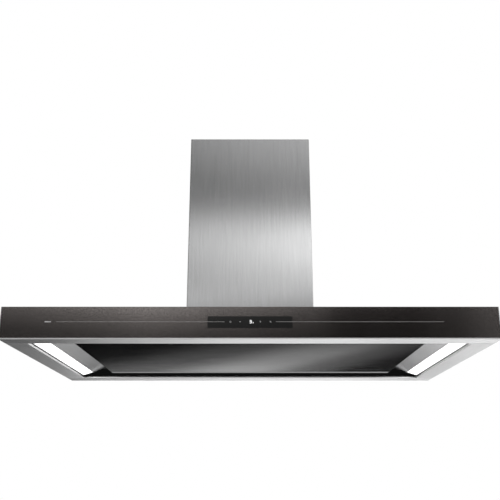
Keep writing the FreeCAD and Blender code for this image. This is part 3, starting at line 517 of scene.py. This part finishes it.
def soften(width, *names):
    """Rounds the edges of CAD nodes, as a folded, cut or moulded edge is."""
    for name in names:
        node = NODES[name]
        weld = node.modifiers.new("weld", "WELD")
        weld.merge_threshold = 1e-6
        flat = node.modifiers.new("flat_faces", "DECIMATE")
        flat.decimate_type, flat.angle_limit = "DISSOLVE", math.radians(0.5)
        edge = node.modifiers.new("edges", "BEVEL")
        edge.width, edge.segments, edge.limit_method = width * MM, 2, "ANGLE"
        edge.angle_limit = math.radians(35)
        edge.use_clamp_overlap = False
        edge.harden_normals = True


# ---- facia glasses and the print on the front one
def facia_pane(name, node):
    """A facia glass with ground edges."""
    low, high = mm(node)
    Piece().box(low, high, round_by=0.7, segments=3).done(name, "hood", "facia_glass", facia, node)


facia_pane("facia_pane_front", "front_glass")
facia_pane("facia_pane_rear", "rear_glass")
FACE_Y = mm("front_glass")[0].y
PRINT = 0.06                # how deep, and how proud of the glass, the window's print is
LINES = PRINT * 1.6         # how proud the lines are
ICON = PRINT * 1.8          # how proud the symbols are
WINDOW_Z = -598.3           # the middle of the control window
LINE_Z = -597.3             # the printed line and the symbols
POWER_X, MINUS_X, PLUS_X, LIGHT_X = -47, -24, 25, 49


def printed(name, material, outlines, proud=PRINT):
    """Marks on the front glass, each a closed outline in X and Z."""
    piece = Piece()
    for outline in outlines:
        piece.prism(outline, 1, FACE_Y - proud, FACE_Y + PRINT)
    return piece.done(name, "hood", "facia_glass", material)


def bar(x, z, wide, high):
    """A rectangle about a place."""
    return [(x - wide / 2, z - high / 2), (x + wide / 2, z - high / 2), (x + wide / 2, z + high / 2),
            (x - wide / 2, z + high / 2)]


def disc(x, z, radius, steps=20):
    """A round dot about a place."""
    return [(x + radius * math.cos(2 * math.pi * k / steps), z + radius * math.sin(2 * math.pi * k / steps))
            for k in range(steps)]


printed("control_window", window_black, [rounded((-102, WINDOW_Z - 14.5), (102, WINDOW_Z + 14.5), 1.2)])
printed("printed_line_left", grey_print, [bar(-262.5, LINE_Z, 403, 1.0)], LINES)
printed("printed_line_right", grey_print, [bar(263.5, LINE_Z, 403, 1.0)], LINES)
printed("printed_dash", pale_print, [bar(-484.5, LINE_Z, 15, 2.6)], LINES)


def ring_of_dots(x, radius, dot, angles):
    """Small dots round a place on the line."""
    return [disc(x + radius * math.cos(math.radians(a)), LINE_Z + radius * math.sin(math.radians(a)), dot, 10)
            for a in angles]


printed("icon_power", pale_print,
        [bar(POWER_X, LINE_Z + 1.5, 0.7, 1.8)] + ring_of_dots(POWER_X, 1.6, 0.5, range(150, 421, 30)), ICON)
printed("icon_minus", pale_print, [bar(MINUS_X, LINE_Z, 4.0, 1.0)], ICON)
printed("icon_plus", pale_print, [bar(PLUS_X, LINE_Z, 3.6, 0.9), bar(PLUS_X, LINE_Z + 1.2, 0.9, 1.3),
                                  bar(PLUS_X, LINE_Z - 1.2, 0.9, 1.3)], ICON)
printed("icon_light", pale_print,
        [disc(LIGHT_X, LINE_Z, 1.1)] + ring_of_dots(LIGHT_X, 2.3, 0.4, range(0, 360, 60)), ICON)
DIGIT = [bar(1.2, LINE_Z + 3.4, 3.6, 1.2), bar(1.2, LINE_Z, 3.6, 1.2), bar(1.2, LINE_Z - 3.4, 3.6, 1.2),
         bar(3.5, LINE_Z + 1.7, 1.2, 2.4), bar(3.5, LINE_Z - 1.7, 1.2, 2.4), disc(7.4, LINE_Z - 2.4, 1.1)]
printed("lit_digit", lit_digit, DIGIT, ICON)
printed("unlit_segments", dim_digit, [bar(-1.1, LINE_Z + side * 1.7, 1.2, 2.4) for side in (1, -1)], ICON)

# ---- bottom flanges: folded sheet with a rolled outer edge and a turned-up inner lip
SHEET = 1.5
FRAME_Y, OPENING_Y = 350, 295       # the frame's outer and inner edges, from the middle
FRAME_X, OPENING_X = 598, 545
for end, sign in (("front", -1), ("rear", 1)):
    low, high = mm(f"flange_{end}")
    outer, inner = sign * (FRAME_Y - SHEET / 2), sign * (OPENING_Y + SHEET / 2)
    path = [(inner, high.z), (inner, low.z + SHEET / 2), (outer, low.z + SHEET / 2), (outer, low.z + 3.5)]
    Piece().prism(bent(path, SHEET, 1.9, steps=8), 0, low.x, high.x).done(
        f"bottom_flange_{end}", "hood", "brushed_steel", steel_x, f"flange_{end}")
for side, sign in (("left", -1), ("right", 1)):
    low, high = mm(f"flange_{side}")
    outer, inner = sign * FRAME_X, sign * (OPENING_X + SHEET / 2)
    path = [(high.z, inner), (low.z + SHEET / 2, inner), (low.z + SHEET / 2, outer)]
    outline = [(x, z) for z, x in bent(path, SHEET, 1.1, steps=6)]
    Piece().prism(outline, 1, low.y, high.y).done(
        f"bottom_flange_{side}", "hood", "brushed_steel", steel_y, f"flange_{side}")

# ---- lamps: an opal lens with a crowned face and moulded end caps
LENS_IN, LENS_OUT = 511.7, 540.8    # the lens's edges, from the middle plane
LENS_THICK, CROWN, CROWN_STEPS = 2.6, 0.35, 8
CAP, CAP_GAP = 5.0, 0.15            # the end caps' length, and the seam between cap and lens
CHIPS, CHIP_X = 40, 526.5           # the lights on each board, and their place from the middle plane


def under(x):
    """The level of the sloping lamp's face at that distance from the middle plane."""
    return -633.75 + (542.5 - x) * 0.3


for side, sign in (("left", -1), ("right", 1)):
    low, high = mm(f"led_diffuser_{side}")
    crown = []
    for k in range(CROWN_STEPS + 1):
        x = LENS_OUT + (LENS_IN - LENS_OUT) * k / CROWN_STEPS
        crown.append((sign * x, under(x) + CROWN - CROWN * math.sin(math.pi * k / CROWN_STEPS)))
    top = [(sign * (LENS_IN + shift), under(LENS_IN) + LENS_THICK) for shift in (0.0, 2.2)]
    top += [(sign * (LENS_OUT - shift), under(LENS_OUT) + LENS_THICK) for shift in (2.2, 0.0)]
    Piece().prism(crown + top, 1, low.y + CAP, high.y - CAP, round_by=0.15, sharper_than=50).done(
        f"lamp_lens_{side}", "hood", "opal_diffuser", opal, f"led_diffuser_{side}")
    ends = Piece()
    across = [(sign * LENS_OUT, under(LENS_OUT)), (sign * LENS_IN, under(LENS_IN)),
              (sign * LENS_IN, under(LENS_IN) + 2.8), (sign * LENS_OUT, under(LENS_OUT) + 2.8)]
    for start, stop in ((low.y, low.y + CAP - CAP_GAP), (high.y - CAP + CAP_GAP, high.y)):
        ends.prism(across, 1, start, stop, round_by=0.4)
    ends.done(f"lamp_end_caps_{side}", "hood", "lamp_aluminium", lamp_metal)
    low, high = mm(f"led_board_{side}")
    board = Piece()
    x, z = sign * CHIP_X, under(CHIP_X) + 10.0
    for k in range(CHIPS):
        y = low.y + 10 + (high.y - low.y - 20) * k / (CHIPS - 1)
        board.box((x - 1.4, y - 1.75, z - 0.8), (x + 1.4, y + 1.75, z + 0.3), round_by=0.2, segments=1)
        if k % 4 == 1:
            base = z + 0.6 - sign * 1.5
            board.box((x + 5, y - 1.0, base), (x + 7, y + 1.0, base + 1.0), round_by=0.15, segments=1)
    board.done(f"led_chips_{side}", "hood", "circuit_board", chip_yellow)

# ---- suction panel glass, ground and polished all round
low, high = mm("suction_glass")
Piece().prism(rounded((low.x, low.y), (high.x, high.y), 3.0), 2, low.z, high.z, round_by=0.7, segments=3).done(
    "suction_pane", "suction_panel", "suction_glass", glass, "suction_glass")


# ---- grease filters: layers of expanded aluminium, and a latch with a finger ridge
def expanded_layer(width, depth, long_way, short_way, strand, thick, z):
    """Zigzag strands, each touching the next, over a width by a depth in millimetres."""
    verts, faces = [], []
    columns = int(width / (long_way / 2))
    step = width / columns
    rows = int(depth / short_way) * 2
    pitch = depth / rows
    for row in range(rows):
        flip = 1 if row % 2 else -1
        base = -depth / 2 + pitch * (row + 0.5)
        start = len(verts)
        for k in range(columns + 1):
            x = -width / 2 + step * k
            up = (1 if k % 2 else -1) * flip
            y = base + up * (pitch / 2 - strand * 0.18)
            lift = up * flip * thick * 0.35
            verts += [(x, y - strand / 2, z + lift - thick / 2), (x, y + strand / 2, z + lift - thick / 2),
                      (x, y + strand / 2, z + lift + thick / 2), (x, y - strand / 2, z + lift + thick / 2)]
        for k in range(columns):
            a, b = start + 4 * k, start + 4 * (k + 1)
            for i in range(4):
                j = (i + 1) % 4
                faces.append((a + i, a + j, b + j, b + i))
        last = start + 4 * columns
        faces += [(start + 3, start + 2, start + 1, start), (last, last + 1, last + 2, last + 3)]
    return verts, faces


for side in SIDES:
    low, high = mm(f"filter_mesh_{side}")
    middle = (low + high) / 2
    width, depth = high.x - low.x - 0.6, high.y - low.y - 0.6
    verts, faces = expanded_layer(width, depth, 11.0, 5.5, 0.8, 0.55, low.z + 0.5)      # fine, below
    more, again = expanded_layer(width, depth, 17.0, 8.5, 1.1, 0.6, high.z - 0.6)       # coarse, above
    faces += [tuple(i + len(verts) for i in face) for face in again]
    verts += more
    mesh = bpy.data.meshes.new(f"filter_screen_{side}")
    mesh.from_pydata([(x + middle.x, y + middle.y, z) for x, y, z in verts], [], faces)
    settle(mesh, f"filter_screen_{side}", f"filter_{side}", filter_metal,
           [f"filter_mesh_{side}"], smooth=20)
    low, high = mm(f"filter_latch_{side}")
    latch = Piece().box((low.x, low.y, low.z + 1.6), high, round_by=0.5)
    ridge = [(low.y + y, low.z + z) for y, z in ((0.2, 1.8), (0.9, 0.1), (2.6, 0.1), (3.6, 1.8))]
    latch.prism(ridge, 0, low.x + 2, high.x - 2, round_by=0.3)
    for k in range(4):      # grip lines
        y = high.y - 2.2 - 1.9 * k
        rib = [(y + off, low.z + z) for off, z in ((-0.6, 1.7), (-0.25, 0.9), (0.25, 0.9), (0.6, 1.7))]
        latch.prism(rib, 0, low.x + 6, high.x - 6, round_by=0.12, segments=1)
    latch.done(f"finger_latch_{side}", f"filter_latch_{side}", "black_plastic", black_plastic,
               f"filter_latch_{side}")

# ---- screws, bolts and grommets
for level, body in (("upper", "ceiling_frame"), ("lower", "hood")):
    screws = Piece()
    for low, high in solids(f"{level}_cover_screws"):
        middle = (low + high) / 2
        side = 1 if middle.x > 0 else -1
        seat = (high.x if side > 0 else low.x) - side * 1.2
        screws.screw((seat, middle.y, middle.z), (side, 0, 0), 3.0, 1.2, shank=4.0, shank_radius=1.5)
    screws.done(f"{level}_pan_head_screws", body, "bright_fasteners", bolt_metal, f"{level}_cover_screws")
bolts = Piece()
RING_TOP = -557.0           # where the base ring's bolts are seated
for low, high in solids("frame_bolts"):
    x, y = (low.x + high.x) / 2, (low.y + high.y) / 2
    bolts.screw((x, y, RING_TOP), (0, 0, 1), 5.0, 3.0)
    bolts.lathe([(2.0, 0.0), (2.0, -11.4), (1.5, -12.0)], (x, y, RING_TOP), steps=16)
bolts.done("base_ring_bolts", "hood", "bright_fasteners", bolt_metal, "frame_bolts")
clamps = Piece()
for low, high in solids("height_clamp_bolts"):
    middle = (low + high) / 2
    side = 1 if middle.x > 0 else -1
    inner, outer = (low.x, high.x) if side > 0 else (high.x, low.x)     # the bolt's tip and head
    clamps.hexagon((outer - side * 3.25, middle.y, middle.z), (side, 0, 0), 10.0, 3.2)
    washer = [(5.9, 0.0), (6.0, 0.1), (6.0, 0.45), (5.9, 0.5)]
    clamps.lathe(washer, (outer - side * 3.75, middle.y, middle.z), (side, 0, 0), steps=28)
    clamps.lathe([(2.5, 0.0), (2.5, abs(outer - inner) - 3.6)], (inner, middle.y, middle.z), (side, 0, 0), steps=18)
clamps.done("height_bolts", "hood", "bright_fasteners", bolt_metal, "height_clamp_bolts")
grommets = Piece()
for low, high in solids("blower_grommets"):
    x, y = (low.x + high.x) / 2, (low.y + high.y) / 2
    tall = high.z - low.z
    waist = [(3.2, 0.0), (5.6, 0.0), (6.0, 0.5), (6.0, 1.7), (5.3, 2.3), (5.3, tall - 2.3), (6.0, tall - 1.7),
             (6.0, tall - 0.5), (5.6, tall), (3.2, tall), (2.2, tall - 0.8), (2.2, 0.8), (3.2, 0.0)]
    grommets.lathe(waist, (x, y, low.z), steps=28)
grommets.done("grommets", "hood", "rubber", rubber, "blower_grommets")

# ---- electrics: ribbed power box with a screwed lid, gland with a dome nut, touch board parts
low, high = mm("power_box")
box = Piece().box((low.x, low.y, low.z), (high.x, high.y, high.z - 4.2), round_by=1.4, segments=3)
box.box((low.x + 0.3, low.y + 0.3, high.z - 4.0), (high.x - 0.3, high.y - 0.3, high.z), round_by=1.2, segments=3)
for k in range(9):      # cooling ribs across the lid
    y = low.y + 20 + 15 * k
    box.box((low.x + 14, y - 1.2, high.z - 0.6), (high.x - 14, y + 1.2, high.z + 0.48), round_by=0.25, segments=1)
box.done("power_supply_case", "hood", "black_plastic", black_plastic, "power_box")
lid = Piece()
for x in (low.x + 7, high.x - 7):
    for y in (low.y + 7, high.y - 7):
        lid.screw((x, y, high.z - 0.1), (0, 0, 1), 3.2, 1.5)
lid.done("power_supply_screws", "hood", "bright_fasteners", bolt_metal)
low, high = mm("cable_gland")
y, z = (low.y + high.y) / 2, (low.z + high.z) / 2
gland = Piece().hexagon((low.x, y, z), (1, 0, 0), 13.6, 5.5, bore=4.2)
dome = [(4.1, 5.0), (7.2, 5.0), (7.8, 5.8), (7.8, 11.5), (7.0, 14.5), (5.4, 17.0), (4.4, 17.9), (4.05, 17.9),
        (4.05, 5.0)]
gland.lathe(dome, (low.x, y, z), (1, 0, 0), steps=36)
for k in range(12):     # grip ribs round the dome nut
    angle = math.radians(30 * k + 15)
    rib_y, rib_z = y + 7.55 * math.cos(angle), z + 7.55 * math.sin(angle)
    gland.box((low.x + 6.2, rib_y - 0.32, rib_z - 0.32), (low.x + 11.2, rib_y + 0.32, rib_z + 0.32), round_by=0.12,
              segments=1)
gland.done("gland_nut", "hood", "black_plastic", black_plastic, "cable_gland")
low, high = mm("touch_board")
parts = Piece()
for x in (POWER_X, MINUS_X, PLUS_X, LIGHT_X):
    parts.lathe([(5.2, 0.0), (5.2, 0.9), (4.6, 1.3), (0.0, 1.3)], (x, high.y, WINDOW_Z), (0, 1, 0), steps=24)
parts.box((-66, high.y, -609), (-54, high.y + 1.6, -601), round_by=0.25)        # the touch controller
parts.box((-10, high.y, -592), (14, high.y + 3.2, -587), round_by=0.3)          # the plug's socket
for k in range(12):     # a row of resistors
    parts.box((60 + 3 * k, high.y, -590), (61.6 + 3 * k, high.y + 0.7, -589.2), round_by=0.1, segments=1)
parts.done("touch_board_parts", "hood", "black_plastic", black_plastic)

# ---- motor: finned can and end bell
low, high = mm("blower_motor")
y, z, radius = (low.y + high.y) / 2, (low.z + high.z) / 2, (high.y - low.y) / 2
length = high.x - low.x
profile = [(5.0, 0.0), (radius * 0.55, 0.0), (radius * 0.62, 1.2), (radius * 0.86, 2.4), (radius - 1.5, 5.0)]
FIN = 4.0
at = 8.0
while at + FIN < length - 10:
    profile += [(radius - 2.2, at), (radius - 0.1, at + 0.4), (radius - 0.1, at + FIN * 0.45),
                (radius - 2.2, at + FIN * 0.55)]
    at += FIN
profile += [(radius - 1.0, length - 8), (radius, length - 6), (radius, length), (5.0, length)]
Piece().lathe(profile, (low.x, y, z), (1, 0, 0), steps=64).done(
    "finned_motor", "hood", "motor_paint", motor_paint, "blower_motor")
low, high = mm("motor_shaft")
y, z, radius = (low.y + high.y) / 2, (low.z + high.z) / 2, (high.y - low.y) / 2
length = high.x - low.x
Piece().lathe([(0.0, 0.0), (radius - 0.6, 0.0), (radius, 0.6), (radius, length - 0.6), (radius - 0.6, length),
               (0.0, length)], (low.x, y, z), (1, 0, 0), steps=32).done(
    "turned_shaft", "impeller", "bright_fasteners", bolt_metal, "motor_shaft")

soften(0.35, "canopy_shell", "inner_panel_left", "inner_panel_right", "suction_channel_front", "suction_channel_rear")

# ---------------------------------------------------------------- camera, light and floor
CAMERA_PLACE = (0.0, -1.923, -0.959)        # in front of the hood and below it
LOOKS_UP, LENS, LENS_SHIFT = 16.8, 48.4, 0.053
FLOOR_RADIUS, FLOOR_LEVEL = 26.0, -3.4      # below the open panel at the lowest setting
camera = bpy.data.objects.new("camera", bpy.data.cameras.new("camera"))
scene.collection.objects.link(camera)
camera.location = CAMERA_PLACE
camera.rotation_euler = (math.radians(90 + LOOKS_UP), 0.0, 0.0)
camera.data.sensor_width = 36.0
camera.data.lens = LENS
camera.data.shift_y = LENS_SHIFT
scene.camera = camera
scene.view_settings.view_transform = "Standard"

floor_mesh = bpy.data.meshes.new("studio_floor")
shape = bmesh.new()
bmesh.ops.create_circle(shape, cap_ends=True, segments=128, radius=FLOOR_RADIUS)
shape.to_mesh(floor_mesh)
shape.free()
floor = bpy.data.objects.new("studio_floor", floor_mesh)
floor.location = (0.0, 0.0, FLOOR_LEVEL)
scene.collection.objects.link(floor)
floor_finish = Finish("studio_floor", Roughness=0.9)
floor_finish.colour(floor_finish.noise(3.0), (0.84, 0.84, 0.84), (0.87, 0.87, 0.87))
reach = floor_finish.node("ShaderNodeVectorMath", {"operation": "LENGTH"}, _0=floor_finish.place).outputs["Value"]
floor_finish.shader.inputs["Emission Color"].default_value = (1.0, 1.0, 1.0, 1.0)
floor_finish.link(floor_finish.between(reach, 0.12, 1.0, 1.0, 6.0), "Emission Strength")    # white further out
paint(floor_finish.material, floor)
floor.visible_glossy = False


class World:
    """The studio round the object, as a brightness for each direction."""

    def __init__(self):
        self.world = bpy.data.worlds.new("studio")
        self.world.use_nodes = True
        scene.world = self.world
        self.tree = self.world.node_tree

    node = Finish.node

    def math(self, how, *values):
        """One step of arithmetic."""
        return self.node("ShaderNodeMath", {"operation": how}, **{f"_{k}": v for k, v in enumerate(values)}).outputs[0]

    def product(self, first, second):
        return self.math("MULTIPLY", first, second)

    def total(self, first, second):
        return self.math("ADD", first, second)

    def curve(self, value, points):
        """A smooth brightness through (value, brightness) points."""
        low, high = points[0][0], points[-1][0]
        top = max(b for _, b in points)
        share = self.node("ShaderNodeMapRange", {"clamp": True}, Value=value, From_Min=low, From_Max=high).outputs[0]
        ramp = self.tree.nodes.new("ShaderNodeValToRGB")
        ramp.color_ramp.interpolation = "EASE"
        stops = ramp.color_ramp.elements
        while len(stops) < len(points):
            stops.new(0.5)
        for stop, (at, bright) in zip(stops, points):
            stop.position = (at - low) / (high - low)
            stop.color = (bright / top,) * 3 + (1.0,)
        self.tree.links.new(share, ramp.inputs[0])
        return self.product(ramp.outputs[0], top)


studio = World()
direction = studio.node("ShaderNodeSeparateXYZ", Vector=studio.node("ShaderNodeTexCoord").outputs["Generated"])
dx, dy, dz = direction.outputs
DEGREES = 180.0 / math.pi
elevation = studio.product(studio.math("ARCSINE", dz), DEGREES)
az_front = studio.product(studio.math("ARCTAN2", dx, studio.product(dy, -1.0)), DEGREES)
az_back = studio.product(studio.math("ARCTAN2", dx, dy), DEGREES)

# In front of the object. The flanges' rolled edges mirror what lies below the horizon, the facia what lies just
# above it, and the chimney what lies higher. Each part is a curve of elevation times a curve of direction.
under_front = studio.curve(elevation, [(-90, 0.75), (-58.2, 1.3), (-9, 1.3), (1, 0.0)])
under_turn = studio.curve(az_front, [(-90, 0.7), (-40, 0.35), (-20, 0.8), (-9, 1.05), (20, 1.05), (50, 0.8),
                                     (90, 0.7)])
low_front = studio.curve(elevation, [(-9, 0.0), (-1.1, 0.5), (5.8, 0.3), (10.2, 0.2),
                                     (11.5, 0.17), (12.9, 0.52), (14, 1.22), (14.9, 1.3), (16, 0.0)])
low_turn = studio.curve(az_front, [(-90, 0.7), (-40, 0.35), (-20, 0.58), (-16, 0.7), (-13, 0.82), (-9, 1.05),
                                   (-6, 0.88), (-2, 0.55), (2, 0.4), (5, 0.27), (8, 0.02), (9, 0.0), (14, 0.0),
                                   (17, 0.05), (22, 0.18), (50, 0.8), (90, 0.7)])
right_turn = studio.curve(az_front, [(13, 0.0), (17, 0.04), (21, 0.22), (30, 0.3), (60, 0.0)])
right_rise = studio.curve(elevation, [(3.8, 0.0), (8.8, 1.0), (14.7, 1.0), (16.6, 0.0)])
high_front = studio.curve(elevation, [(14.3, 0.0), (15.4, 0.75), (17.1, 0.92), (19.1, 1.38), (20.9, 1.46),
                                      (21.9, 0.5), (22.8, 0.08), (24.5, 0.22), (26.5, 0.46), (28.9, 0.66),
                                      (40.3, 0.75), (90, 0.8)])
high_turn = studio.curve(az_front, [(-90, 0.6), (-20, 0.28), (-6, 0.5), (0, 1.06), (8, 1.45), (30, 1.2),
                                    (90, 0.7)])
low_corner = studio.product(studio.curve(az_front, [(-7, 0.5), (-1, 0.0)]),
                            studio.curve(elevation, [(17.1, 1.0), (20.1, 0.0)]))
high_turn = studio.product(high_turn, studio.math("SUBTRACT", 1.0, low_corner))
low_front = studio.total(studio.product(under_front, under_turn), studio.product(low_front, low_turn))
front = studio.total(low_front, studio.total(studio.product(right_turn, right_rise),
                                             studio.product(high_front, high_turn)))

# Behind the object, where the underside mirrors it: a dim rise, a slanting streak across the suction glass, and
# the brighter far part that the frame and the sloping panels pick up.
band_middle = studio.total(studio.product(elevation, -4.5), -40.4)
band = studio.curve(studio.math("SUBTRACT", az_back, band_middle),
                    [(-16, 0.0), (-8, 0.17), (-1, 0.58), (1, 0.58), (5.5, 0.17), (10, 0.0)])
in_band = studio.curve(elevation, [(-12.8, 0.0), (-11.3, 0.45), (-10, 0.85), (-8.5, 1.4), (-7.8, 1.4), (-7, 0.0)])
back_rise = studio.curve(elevation, [(-90, 0.9), (-63.7, 1.2), (-34.0, 2.1), (-22.3, 2.1), (-17, 0.35),
                                     (-13.3, 0.02), (-7.7, 0.02)])
back_turn = studio.curve(az_back, [(-120, 0.45), (-60, 0.3), (-22, 0.06), (-16, 0.14), (-11, 0.4), (0, 0.85),
                                   (14, 1.0), (21, 1.3), (28, 0.6), (45, 0.35), (120, 0.45)])
far_rise = studio.curve(elevation, [(-7.8, 0.0), (-7, 3.2), (-4.3, 2.4), (3.1, 0.9), (90, 0.8)])
far_turn = studio.curve(az_back, [(-90, 0.8), (-28, 0.4), (-20, 0.22), (-16, 0.3), (-12.5, 0.85), (0, 1.15),
                                  (8, 1.15), (13, 0.55), (16, 0.65), (20, 1.15), (24, 1.15), (30, 0.7),
                                  (90, 0.8)])
back = studio.total(studio.product(back_rise, back_turn),
                    studio.total(studio.product(band, in_band), studio.product(far_rise, far_turn)))

facing = studio.curve(dy, [(-0.25, 0.0), (0.25, 1.0)])
around = studio.total(studio.product(back, facing),
                      studio.product(front, studio.math("SUBTRACT", 1.0, facing)))
surround = studio.tree.nodes["Background"]
studio.tree.links.new(around, surround.inputs["Strength"])
surround.inputs["Color"].default_value = (1.0, 1.0, 1.0, 1.0)
white = studio.node("ShaderNodeBackground", Color=(1.0, 1.0, 1.0, 1.0), Strength=1.0)     # what the camera sees
seen = studio.node("ShaderNodeLightPath").outputs["Is Camera Ray"]
swap = studio.node("ShaderNodeMixShader", _0=seen, _1=surround.outputs[0], _2=white.outputs[0])
studio.tree.links.new(swap.outputs[0], studio.tree.nodes["World Output"].inputs["Surface"])


def soft_light(name, place, aim, size, watts):
    """A square softbox that lights the object and isn't seen itself."""
    light = bpy.data.objects.new(name, bpy.data.lights.new(name, "AREA"))
    light.data.shape = "RECTANGLE"
    light.data.size, light.data.size_y = size
    light.data.energy = watts
    light.location = place
    light.rotation_euler = (Vector(aim) - Vector(place)).to_track_quat("-Z", "Y").to_euler()
    light.visible_camera = False
    scene.collection.objects.link(light)
    return light


soft_light("light_above", (0.0, 0.0, 3.0), (0, 0, -0.3), (3.0, 3.0), 14.0)
